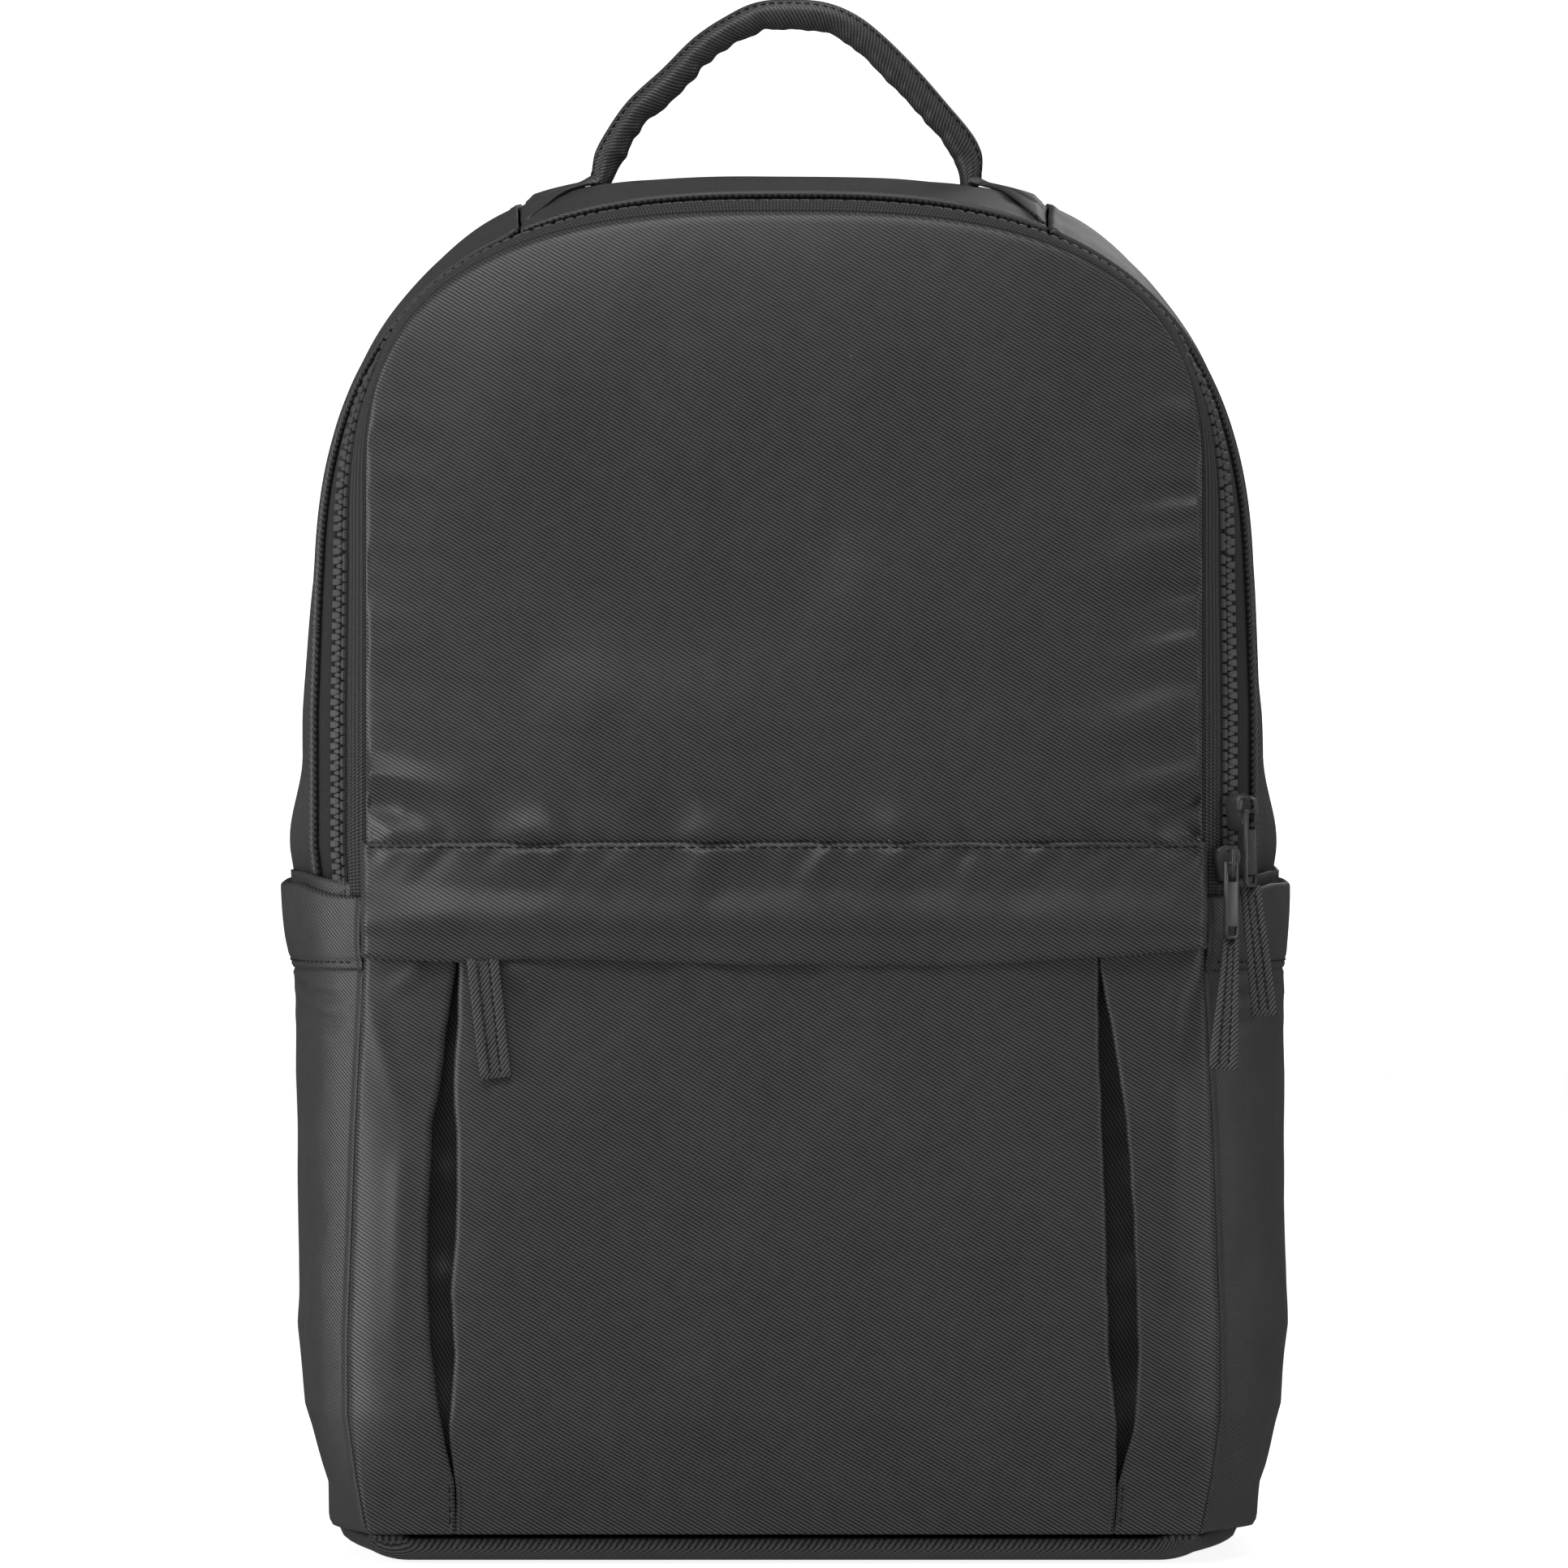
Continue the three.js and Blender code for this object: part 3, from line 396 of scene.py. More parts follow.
def side_gathers(x, z, half):
    """Short gathers that run in from the front panel's side seams."""
    strength = column(SIDE_GATHERS, "right" if x > 0 else "left", z)
    if strength == 0:
        return 0.0
    distance = half - abs(x)
    lean = z + 0.14 * distance
    fine = wave(lean, 0.15 * distance, 6, 3.4) * math.exp(-((distance / 7.0) ** 2))
    broad = wave(lean, 0.1 * distance + 60, 8, 9.0) * math.exp(-((distance / 20.0) ** 2))
    return strength * (FINE_GATHERS * fine + BROAD_GATHERS * broad)


def rolled_back(x, half, width=3.5, depth=7.0):
    """How far a face turns back into its side seam over its last few millimetres."""
    return depth * clamp((abs(x) - half + width) / width) ** 2.2


# Making meshes


def use_only(piece):
    """Selects one object and makes it the active one."""
    bpy.ops.object.select_all(action="DESELECT")
    piece.select_set(True)
    bpy.context.view_layer.objects.active = piece


def apply_modifier(piece, kind, **settings):
    """Adds one modifier with its settings and applies it."""
    use_only(piece)
    modifier = piece.modifiers.new(kind.title(), kind)
    for name, value in settings.items():
        setattr(modifier, name, value)
    bpy.ops.object.modifier_apply(modifier=modifier.name)


def new_piece(name, points, faces, flat=None):
    """A mesh object from points in millimetres, with its cloth map in millimetres."""
    mesh = bpy.data.meshes.new(name)
    mesh.from_pydata([(p[0] * MM, p[1] * MM, p[2] * MM) for p in points], [], faces)
    piece = bpy.data.objects.new(name, mesh)
    bpy.context.scene.collection.objects.link(piece)
    cloth_map = mesh.uv_layers.new(name="cloth")
    if flat:
        for loop in mesh.loops:
            cloth_map.data[loop.index].uv = flat[loop.vertex_index]
    mesh.polygons.foreach_set("use_smooth", [True] * len(mesh.polygons))
    return piece


# Metres: a narrower strip of cloth isn't declared as a sheet
SHEET_LEAST = 0.0105


def note_cut(piece, grid):
    """Keeps the size that a sheet was cut to: its longest run each way, and its flat area."""
    area = sum(face.area for face in piece.data.polygons)
    length = max(spread(line)[-1] for line in grid) * MM
    width = max(spread(line)[-1] for line in zip(*grid)) * MM
    width = max(width, area / length)
    if min(width, length) > SHEET_LEAST:
        piece["cut"] = (width, length, area)


def finish_piece(piece, material, slot, *nodes):
    """Gives a piece its finish and its body, and hides the nodes that it stands for."""
    piece.data.materials.clear()
    piece.data.materials.append(material)
    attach(piece, "root")
    if nodes:
        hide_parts(*nodes)
    "cut" in piece
    return piece


def spread(points):
    """Running length along a line of points."""
    total = [0.0]
    for a, b in zip(points, points[1:]):
        total.append(total[-1] + (Vector(b) - Vector(a)).length)
    return total


def face_map(point):
    """The cloth map of a face that looks forwards or rearwards."""
    return point.x, point.z


def cloth_sheet(name, columns, rows, place, wall=1.6, flat=None, outward=None):
    """A sheet sampled from place(s, t), with a wall behind its outer face."""
    grid = [[place(i / columns, j / rows) for j in range(rows + 1)] for i in range(columns + 1)]
    points = [point for line in grid for point in line]
    if flat:
        spots = [flat(point) for point in points]
    else:
        across = spread([line[rows // 2] for line in grid])
        along = spread(grid[columns // 2])
        spots = [(across[i], along[j]) for i in range(columns + 1) for j in range(rows + 1)]
    faces = []
    for i in range(columns):
        for j in range(rows):
            a = i * (rows + 1) + j
            faces.append((a, a + rows + 1, a + rows + 2, a + 1))
    piece = new_piece(name, points, faces, spots)
    middle = Vector((0, 0, 0.21))
    total = 0.0
    for face in piece.data.polygons:
        out = outward(face.center) if outward else face.center - middle
        total += face.normal.dot(out) * face.area
    if total < 0:
        piece.data.flip_normals()
    note_cut(piece, grid)
    apply_modifier(piece, "SOLIDIFY", thickness=wall * MM, offset=-1.0)
    return piece


def tube_faces(rings, size):
    """The faces of a closed tube: its side from ring to ring, and a cap at each end."""
    faces = []
    for ring in range(rings - 1):
        for turn in range(size):
            a = ring * size + turn
            b = ring * size + (turn + 1) % size
            faces.append((a, b, b + size, a + size))
    faces.append(tuple(range(size)))
    faces.append(tuple(reversed(range((rings - 1) * size, rings * size))))
    return faces


def strip_mesh(name, line, across, width, wall, columns, thick=None):
    """A closed strap along a line of points, its section flat or padded."""
    count = len(line)
    points = []
    spots = []
    total = spread(line)
    for index, spot in enumerate(line):
        before = Vector(line[max(0, index - 1)])
        after = Vector(line[min(count - 1, index + 1)])
        tangent = (after - before).normalized()
        side = Vector(across(index / (count - 1)) if callable(across) else across)
        side = (side - tangent * side.dot(tangent)).normalized()
        normal = tangent.cross(side)
        wide = width(index / (count - 1)) if callable(width) else width
        ring = []
        for half in (1, -1):
            for step in range(columns + 1):
                reach = (step / columns * 2 - 1) * half
                depth = thick(abs(reach)) if thick else 1 - 0.5 * abs(reach) ** 6
                ring.append(Vector(spot) + side * (reach * wide / 2) + normal * (half * wall * depth / 2))
                spots.append((reach * wide / 2, total[index]))
        points += ring
    piece = new_piece(name, points, tube_faces(count, 2 * (columns + 1)), spots)
    outwards(piece)
    return piece


def outwards(piece):
    """Turns every face of a closed piece outwards."""
    use_only(piece)
    bpy.ops.object.mode_set(mode="EDIT")
    bpy.ops.mesh.select_all(action="SELECT")
    bpy.ops.mesh.normals_make_consistent(inside=False)
    bpy.ops.object.mode_set(mode="OBJECT")


def curve_line(points, steps):
    """Points along a smooth line through the given ones."""
    line = []
    last = len(points) - 1
    for step in range(steps + 1):
        spot = step / steps * last
        index = min(int(spot), last - 1)
        share = spot - index
        a = Vector(points[max(0, index - 1)])
        b = Vector(points[index])
        c = Vector(points[index + 1])
        d = Vector(points[min(last, index + 2)])
        line.append(0.5 * (2 * b + (c - a) * share + (2 * a - 5 * b + 4 * c - d) * share ** 2
                           + (3 * b - a - 3 * c + d) * share ** 3))
    return line


def thread_row(name, path, pitch=3.1, length=2.2, radius=0.32):
    """A row of stitches, small spindles along path(share), which gives a point and its outward way."""
    last = 400
    samples = [path(i / last) for i in range(last + 1)]
    total = spread([point for point, _ in samples])
    count = max(1, int(total[-1] / pitch))
    points = []
    faces = []
    index = 0
    for number in range(count):
        start = (number + 0.5) * total[-1] / count
        while index < last - 1 and total[index + 1] < start:
            index += 1
        point, out = samples[index]
        ahead = (samples[index + 1][0] - point).normalized()
        side = ahead.cross(out).normalized()
        base = len(points)
        for share, swell in ((-0.5, 0.35), (-0.25, 1.0), (0.25, 1.0), (0.5, 0.35)):
            middle = point + ahead * (share * length)
            for turn in range(6):
                angle = turn * math.pi / 3
                rim = side * math.cos(angle) + out * math.sin(angle)
                points.append(middle + rim * radius * swell)
        for ring in range(3):
            for turn in range(6):
                a = base + ring * 6 + turn
                b = base + ring * 6 + (turn + 1) % 6
                faces.append((a, b, b + 6, a + 6))
        faces.append(tuple(base + turn for turn in reversed(range(6))))
        faces.append(tuple(base + 18 + turn for turn in range(6)))
    piece = new_piece(name, points, faces)
    outwards(piece)
    return finish_piece(piece, THREAD, "cloth")


# Materials


class Value:
    """A shader socket whose sums and products add Math nodes."""

    def __init__(self, shader, socket):
        self.shader = shader
        self.socket = socket

    def math(self, operation, *others):
        node = self.shader.node("ShaderNodeMath", {"operation": operation}, self, *others)
        return node

    def __add__(self, other):
        return self.math("ADD", other)

    def __mul__(self, other):
        return self.math("MULTIPLY", other)

    def __sub__(self, other):
        return self.math("SUBTRACT", other)

    def __rsub__(self, other):
        return (self * -1.0) + other

    __radd__ = __add__
    __rmul__ = __mul__


class Finish:
    """One node material: a Principled shader and the nodes that feed it."""

    def __init__(self, name, **constants):
        self.material = bpy.data.materials.new(name)
        self.material.use_nodes = True
        self.nodes = self.material.node_tree.nodes
        self.links = self.material.node_tree.links
        self.shader = self.nodes["Principled BSDF"]
        for socket, value in constants.items():
            self.shader.inputs[socket.replace("_", " ")].default_value = value

    def plug(self, value, socket):
        if isinstance(value, Value):
            self.links.new(value.socket, socket)
        else:
            socket.default_value = value

    def node(self, kind, settings=None, *values, output=0, **named):
        """Adds one node: its settings first, then its sockets by order or by name."""
        made = self.nodes.new(kind)
        for name, value in (settings or {}).items():
            setattr(made, name, value)
        for index, value in enumerate(values):
            self.plug(value, made.inputs[index])
        for name, value in named.items():
            self.plug(value, made.inputs[name.replace("_", " ")])
        return Value(self, made.outputs[output])

    def feed(self, **values):
        for socket, value in values.items():
            self.plug(value, self.shader.inputs[socket.replace("_", " ")])

    def cloth_place(self):
        """The cloth map as two numbers: across and along, in millimetres."""
        place = self.node("ShaderNodeUVMap", {"uv_map": "cloth"})
        parts = self.nodes.new("ShaderNodeSeparateXYZ")
        self.links.new(place.socket, parts.inputs[0])
        return place, Value(self, parts.outputs[0]), Value(self, parts.outputs[1])

    def lumps(self, place, size, detail=2.0, rough=0.5):
        """Noise from 0 to 1 whose lumps are about one size across, in the map's own units."""
        return self.node("ShaderNodeTexNoise", {}, Vector=place, Scale=1.0 / size, Detail=detail,
                         Roughness=rough)

    def ramp(self, value, low, high):
        """Maps low to high onto 0 to 1, clamped."""
        return self.node("ShaderNodeMapRange", {"interpolation_type": "SMOOTHSTEP"}, Value=value,
                         From_Min=low, From_Max=high)

    def blend(self, share, low, high):
        made = self.nodes.new("ShaderNodeMix")
        made.data_type = "RGBA"
        self.plug(share, made.inputs[0])
        self.plug(low, made.inputs[6])
        self.plug(high, made.inputs[7])
        return Value(self, made.outputs[2])

    def bump(self, height, distance, strength=1.0):
        return self.node("ShaderNodeBump", {}, Strength=strength, Distance=distance, Height=height)


def grey(level):
    return (level, level, level, 1.0)


def twill_finish(name, light, dark, pitch=1.05, lean=31.0, sheen=0.04, rough=0.46, fine=0.06):
    """Satin twill: fine ribs that run down to the right, crossed by the yarn's floats."""
    made = Finish(name, Sheen_Weight=sheen, Sheen_Roughness=0.45, Specular_IOR_Level=0.4)
    place, across, along = made.cloth_place()
    turn = math.radians(lean)
    ribs = (across * math.sin(turn) + along * math.cos(turn)) * (2 * math.pi / pitch)
    floats = (across * math.cos(turn) - along * math.sin(turn)) * (2 * math.pi / (pitch * 1.3))
    broad = made.lumps(place, 26.0)
    patchy = made.lumps(place, 5.0, 3.0)
    rib = (ribs + patchy * 1.6).math("SINE") * 0.5 + 0.5
    cross = (floats + rib * 2.0).math("SINE") * 0.5 + 0.5
    weave = rib * 0.86 + cross * 0.14
    lint = made.node("ShaderNodeTexVoronoi", {}, Vector=place, Scale=1 / 24.0)
    speck = 1.0 - made.ramp(lint, 0.008, 0.016)
    tone = made.ramp(weave * 0.85 + patchy * 0.2 + broad * 0.15, 0.22, 0.95)
    base = made.blend(tone, grey(dark), grey(light))
    made.feed(
        Base_Color=made.blend(speck * 0.5, base, grey(0.30)),
        Roughness=patchy * 0.10 + broad * 0.10 + (rough - 0.10) + weave * -0.06,
    )
    surface = made.bump(weave, fine * MM * 1.8, 0.8)
    creases = made.nodes.new("ShaderNodeBump")
    creases.inputs["Strength"].default_value = 0.35
    creases.inputs["Distance"].default_value = 1.2 * MM
    made.links.new(broad.socket, creases.inputs["Height"])
    made.links.new(surface.socket, creases.inputs["Normal"])
    made.feed(Normal=Value(made, creases.outputs[0]))
    return made.material


def ribbed_finish(name, light, dark, rib=0.9, rough=0.75):
    """Zip tape or ribbon: tight ribs across and a coarse knit over them."""
    made = Finish(name, Sheen_Weight=0.03, Sheen_Roughness=0.5, Specular_IOR_Level=0.3)
    place, across, along = made.cloth_place()
    rows = (across * (2 * math.pi / rib)).math("SINE") * 0.5 + 0.5
    cords = (along * (2 * math.pi / (rib * 1.25)) + rows * 1.8).math("SINE") * 0.5 + 0.5
    fuzz = made.lumps(place, 0.8, 3.0, 0.7)
    weave = rows * 0.4 + cords * 0.35 + fuzz * 0.5
    made.feed(
        Base_Color=made.blend(made.ramp(weave, 0.3, 1.05), grey(dark), grey(light)),
        Roughness=fuzz * 0.2 + (rough - 0.1),
        Normal=made.bump(weave, 0.3 * MM, 0.9),
    )
    return made.material


def thread_finish():
    """Dark thread with a fine twist."""
    made = Finish("thread", Specular_IOR_Level=0.35)
    coordinates = made.node("ShaderNodeTexCoord", {}, output=3)
    twist = made.lumps(coordinates, 0.5 * MM, 1.0)
    made.feed(
        Base_Color=made.blend(twist, grey(0.006), grey(0.020)),
        Roughness=twist * 0.2 + 0.5,
        Normal=made.bump(twist, 0.08 * MM, 0.6),
    )
    return made.material


def moulded_finish(name, level, rough, grain=0.6):
    """Moulded plastic with a faint grain and worn high spots."""
    made = Finish(name, Specular_IOR_Level=0.5)
    coordinates = made.node("ShaderNodeTexCoord", {}, output=3)
    fine = made.lumps(coordinates, grain * MM, 3.0)
    broad = made.lumps(coordinates, 9 * MM)
    made.feed(
        Base_Color=made.blend(broad * 0.6 + fine * 0.4, grey(level * 0.75), grey(level * 1.3)),
        Roughness=fine * 0.16 + broad * 0.1 + (rough - 0.12),
        Normal=made.bump(fine, 0.03 * MM, 0.5),
    )
    return made.material


def metal_finish():
    """Black coated metal, worn a little brighter in places."""
    made = Finish("black_metal", Metallic=0.1, Coat_Weight=0.3, Coat_Roughness=0.25)
    coordinates = made.node("ShaderNodeTexCoord", {}, output=3)
    fine = made.lumps(coordinates, 0.7 * MM, 4.0, 0.6)
    broad = made.lumps(coordinates, 6 * MM)
    wear = made.ramp(fine * 0.6 + broad * 0.5, 0.62, 0.80)
    made.feed(
        Base_Color=made.blend(wear, grey(0.045), grey(0.13)),
        Roughness=fine * 0.16 + 0.26,
        Normal=made.bump(fine, 0.02 * MM, 0.4),
    )
    return made.material


TWILL = twill_finish("satin_twill", light=0.060, dark=0.013)
TWILL_SIDE = twill_finish("satin_twill_side", light=0.057, dark=0.013, rough=0.48)
# The pleats' underlay: the same twill made darker, as painted shade in the recess behind the pleats.
TWILL_PAINTED_SHADE = twill_finish("pleat_twill_painted_shade", light=0.034, dark=0.008, sheen=0.02, rough=0.5)
TAPE = ribbed_finish("zip_tape", light=0.058, dark=0.005, rib=1.05)
REAR_TAPE = ribbed_finish("zip_rear_tape", light=0.030, dark=0.010, rib=0.7)
RIBBON = twill_finish("pull_ribbon", light=0.080, dark=0.012, pitch=1.0, lean=48.0, rough=0.7)
WEBBING = ribbed_finish("strap_webbing", light=0.040, dark=0.012, rib=1.6)
TEETH = moulded_finish("zip_teeth", 0.062, 0.40)
BUCKLE = moulded_finish("strap_buckle", 0.020, 0.45)
TAB = moulded_finish("tab_cloth", 0.030, 0.62, 0.9)
THREAD = thread_finish()
METAL = metal_finish()


# The body of the bag


def seam_bulge(x, z):
    """The fullness of the front panel just above the flap's seam."""
    return SEAM_BULGE * math.exp(-(((z - FLAP_SEAM - 10) / 46) ** 2)) * (1 - face_reach(x, z, 0) ** 4)


def front_surface(x, z):
    """The front panel's face with its folds, puckers and slow waves."""
    reach = face_reach(x, z, 0)
    free = smooth((z - CROWN_START) / (CROWN_FULL - CROWN_START))
    half = side_half_width(z, 0)
    shape = front_y(x, z) - free * seam_bulge(x, z)
    proud = SEAM_PROUD * math.exp(-(((z - FLAP_SEAM - 1) / 4.5) ** 2)) * (1 - reach ** 30)
    lift = PANEL_FOLD_FACTOR * folds(PANEL_FOLDS, x, z) + puckers(x, abs(z - FLAP_SEAM), 11.0, 3.4) + proud
    slow = 1.3 * wave(x, z, 5, 64.0) + 0.6 * wave(x, z, 11, 27.0)
    gathers = side_gathers(x, z, half)
    edge = smooth((1 - reach) / 0.012)
    return shape - (lift + slow * (1 - reach ** 3) + gathers) * free * edge + free * 0.8 * reach ** 160


def make_front_panel():
    """The arched front wall: plain behind the pocket, and crowned and folded above it."""

    def place(s, t):
        top = arch_point(math.pi * (1 - s), 0)[1]
        z = mix(WALL_FOOT, CROWN_START, t * 5) if t < 0.2 else mix(CROWN_START, top, (t - 0.2) / 0.8)
        x = reach_at(math.pi * (1 - s)) * side_half_width(z, 0)
        return Vector((x, front_surface(x, z), z))

    piece = cloth_sheet("front_cloth", 150, 150, place, 1.4, flat=face_map)
    return finish_piece(piece, TWILL, "cloth", "front_panel")


def flap_surface(x, z):
    """The flap band: pulled in at its seam, then lying out over the pocket's mouth."""
    drop = clamp((FLAP_SEAM - z) / (FLAP_SEAM - POCKET_TOP))
    bulge = seam_bulge(x, FLAP_SEAM)
    seam = front_y(x, FLAP_SEAM) - GAP - CLOTH - bulge
    low = pocket_y(x, min(z, POCKET_TOP)) - CENTRE_LOFT - GAP - CLOTH
    shape = min(mix(seam, low, smooth(drop * 1.1)), front_y(x, z) - GAP - CLOTH - bulge)
    across = clamp(abs(x) / FRONT_HALF_WIDTH)
    belly = FLAP_BELLY * smooth((drop - 0.42) / 0.42) * (1 - smooth((drop - 0.86) / 0.3))
    crease = 1.0 * smooth((z - FLAP_SEAM + 1.4) / 1.6)
    loose = (1 - abs(2 * drop - 1)) * wave(x, z, 3, 34.0) + 0.5 * wave(x, z, 8, 15.0)
    face = shape - belly + crease - puckers(x, FLAP_SEAM - z, 10.0, 2.0) - loose * (1 - across ** 8)
    return face + rolled_back(x, FLAP_HALF_WIDTH, 1.5, 5.0 - 3 * (1 - drop))


def make_flap():
    """The flap band, its free edge rolled under, with the stitches of its seam."""
    half = FLAP_HALF_WIDTH
    body = 0.84

    def place(s, t):
        x = mix(-half, half, s)
        edge = column(FLAP_EDGE_ROWS, "height", x) + 0.35 * wave(x, 0, 2, 16.0)
        low = edge + EDGE_ROLL
        if t <= body:
            z = mix(FLAP_SEAM + 0.6, low, t / body)
            return Vector((x, flap_surface(x, z), z))
        turn = (t - body) / (1 - body) * math.pi * 0.95
        z = low - EDGE_ROLL * math.sin(turn)
        return Vector((x, flap_surface(x, low) + EDGE_ROLL * (1 - math.cos(turn)), z))

    piece = cloth_sheet("flap_cloth", 190, 38, place, 1.0, flat=lambda p: (p.x + 7, p.z))
    finish_piece(piece, TWILL, "cloth", "flap_band")

    def seam(s):
        x = mix(-half + 2, half - 2, s)
        z = FLAP_SEAM - 0.9
        return Vector((x, flap_surface(x, z) - 0.12, z)), FORWARD

    thread_row("flap_stitches", seam)


def pocket_surface(x, z, loft):
    """A panel of the front pocket with its folds and slow waves."""
    lift = folds(POCKET_FOLDS, x, z)
    slow = 0.9 * wave(x, z, 21, 46.0) + 0.45 * wave(x, z, 27, 19.0)
    across = abs(x) / pocket_half_width(z)
    free = smooth((z - WALL_FOOT) / 30)
    return pocket_y(x, z) - (loft + lift + slow * (1 - across ** 10)) * free


def folded_edge(turn_share, z):
    """How far a pleat's folded edge reaches outwards and rearwards, flatter near the base's seam."""
    turn = turn_share * math.pi * EDGE_TURN
    free = smooth((z - WALL_FOOT - 12) / 30)
    return EDGE_ROLL * math.sin(turn), EDGE_ROLL * (1 - math.cos(turn)) * mix(0.25, 1, free)


def make_centre_panel():
    """The panel between the pleats, its two upright edges folded under."""
    body = 0.955

    def place(s, t):
        z = mix(WALL_FOOT, POCKET_TOP, t)
        left = column(PLEAT_ROWS, "left_in", z) + 0.35 * wave(z, 5, 1, 9.0)
        right = column(PLEAT_ROWS, "right_in", z) + 0.35 * wave(z, 9, 4, 9.0)
        reach = 2 * s - 1
        inner = clamp(abs(reach) / body)
        middle = (left + right) / 2
        edge = (right - left) / 2 - EDGE_ROLL
        share = math.copysign(inner, reach)
        x = middle + share * edge
        loft = CENTRE_LOFT * (1 - inner ** 10)
        y = pocket_surface(x, z, loft + 0.6)
        if abs(reach) > body:
            outwards_by, rearwards_by = folded_edge((abs(reach) - body) / (1 - body), z)
            x += math.copysign(outwards_by, reach)
            y += rearwards_by
        return Vector((x, y, z))

    piece = cloth_sheet("pocket_centre_cloth", 170, 120, place, 1.0, flat=lambda p: (p.x - 3, p.z))
    return finish_piece(piece, TWILL, "cloth", "pocket_centre_panel")


def make_pocket_side(side, name):
    """The panel outside a pleat, folded at the pleat and sewn at the side seam."""
    body = 0.16
    inner_name = "left_out" if side < 0 else "right_out"

    def place(s, t):
        z = mix(WALL_FOOT, POCKET_TOP, t)
        inner = abs(column(PLEAT_ROWS, inner_name, z)) + 0.3 * wave(z, 13 * side, 7, 8.0)
        outer = pocket_half_width(z) + 0.9 + 0.3 * wave(z, 31 * side, 2, 16.0)
        share = clamp((s - body) / (1 - body))
        x = mix(inner + EDGE_ROLL, outer, share)
        y = pocket_surface(side * x, z, 0.6) + rolled_back(x, outer, 2.4, 2.6)
        if s < body:
            inwards_by, rearwards_by = folded_edge(1 - s / body, z)
            x -= inwards_by
            y += rearwards_by
        return Vector((side * x, y, z))

    piece = cloth_sheet(f"pocket_side_cloth_{name}", 46, 120, place, 1.0, flat=face_map)
    finish_piece(piece, TWILL, "cloth", f"pocket_side_{name}")

    def seam(s):
        z = mix(12, 25, s)
        x = column(PLEAT_ROWS, inner_name, z) + side * 1.6
        return Vector((x, pocket_surface(x, z, 0.6) - 0.1, z)), FORWARD

    thread_row(f"pleat_stitches_{name}", seam, radius=0.26)


def make_underlay(side, name):
    """The cloth at the bottom of a pleat, made darker as painted shade of the recess, with the small folds
    that cross it.
    """
    keys = ("left_in", "left_out") if side < 0 else ("right_in", "right_out")
    foot = node_box(f"pleat_underlay_{name}")[0][2]

    def place(s, t):
        z = mix(foot, POCKET_TOP, t)
        start = abs(column(PLEAT_ROWS, keys[0], z)) - PLEAT_UNDERLAP
        end = abs(column(PLEAT_ROWS, keys[1], z)) + PLEAT_UNDERLAP
        x = mix(start, end, s)
        open_share = clamp((end - start - (2 * PLEAT_UNDERLAP + 0.4)) / 8)
        dip = PLEAT_DIP * math.sin(math.pi * s) * open_share
        crossing = 1.5 * wave(z, 3 * side, 5, 11.0) * math.sin(math.pi * s) * open_share
        return Vector((side * x, pocket_y(x, z) + CLOTH + 2 * GAP + 1.6 + dip + crossing, z))

    piece = cloth_sheet(f"pleat_cloth_{name}", 16, 90, place, 0.8, flat=lambda p: (p.z, p.x))
    finish_piece(piece, TWILL_PAINTED_SHADE, "cloth", f"pleat_underlay_{name}")


def make_band(name, near, far, start, end, foot, steps, rows, lift, wall, material, slot, *nodes):
    """A strip of the band between two depths, with lift(along, t) above the outline."""

    def place(s, t):
        share = depth_share(mix(near, far, t))
        along = mix(start(share), end(share), s)
        return band_offset(along, share, foot, lift(along, t))

    piece = cloth_sheet(name, steps, rows, place, wall)
    return finish_piece(piece, material, slot, *nodes)


def over_arch(along):
    """1 over the top of the arch, where the front tape hides the teeth, and 0 down the sides."""
    return 1 - smooth((abs(along) - 0.31) / 0.07)


def left_foot(share):
    """The path's start at every depth, for make_band."""
    return -1.0


def right_foot(share):
    """The path's end at every depth, for make_band."""
    return 1.0


def make_zip_tapes():
    """The front tape, which lies over the teeth on top, and the rear one, which runs under the gusset."""
    foot = TAPE_LOW[2]
    under_gusset = 6.0

    def front_lift(along, t):
        return 0.7 * math.sin(math.pi * t) ** 0.6 + 1.9 * over_arch(along) * t ** 0.7

    make_band("front_tape", TAPE_LOW[1], TAPE_HIGH[1], left_foot, right_foot, foot, 420, 10,
              front_lift, 1.2, TAPE, "zip_tape", "zip_tape_front")

    def rear_lift(along, t):
        return -0.3 - 1.1 * smooth((t - 0.33) / 0.25)

    make_band("rear_tape", REAR_TAPE_LOW[1], REAR_TAPE_HIGH[1] + under_gusset, left_foot, right_foot, foot,
              260, 8, rear_lift, 1.0, REAR_TAPE, "zip_tape", "zip_tape_back")


TOOTH_PITCH = 3.35
CHAIN_SAMPLES = 1200
# Blocks of the two rows of teeth: sizes along the chain, rearwards and outwards
REAR_TOOTH_BODY = (2.2, 3.5, 1.7)
REAR_TOOTH_HEAD = (1.35, 1.0, 1.4)
FRONT_TOOTH_BODY = (1.35, 1.9, 1.6)
FRONT_TOOTH_HEAD = (0.95, 1.2, 1.3)
TAPE_BEAD = (2.7, 1.05, 1.3)


def chain_lengths():
    """Sample places along the middle of the chain, with their running length."""
    share = depth_share((CHAIN_LOW[1] + CHAIN_HIGH[1]) / 2)
    steps = [-1 + 2 * i / CHAIN_SAMPLES for i in range(CHAIN_SAMPLES + 1)]
    total = spread([band_offset(along, share, CHAIN_LOW[2], 0) for along in steps])
    return steps, total


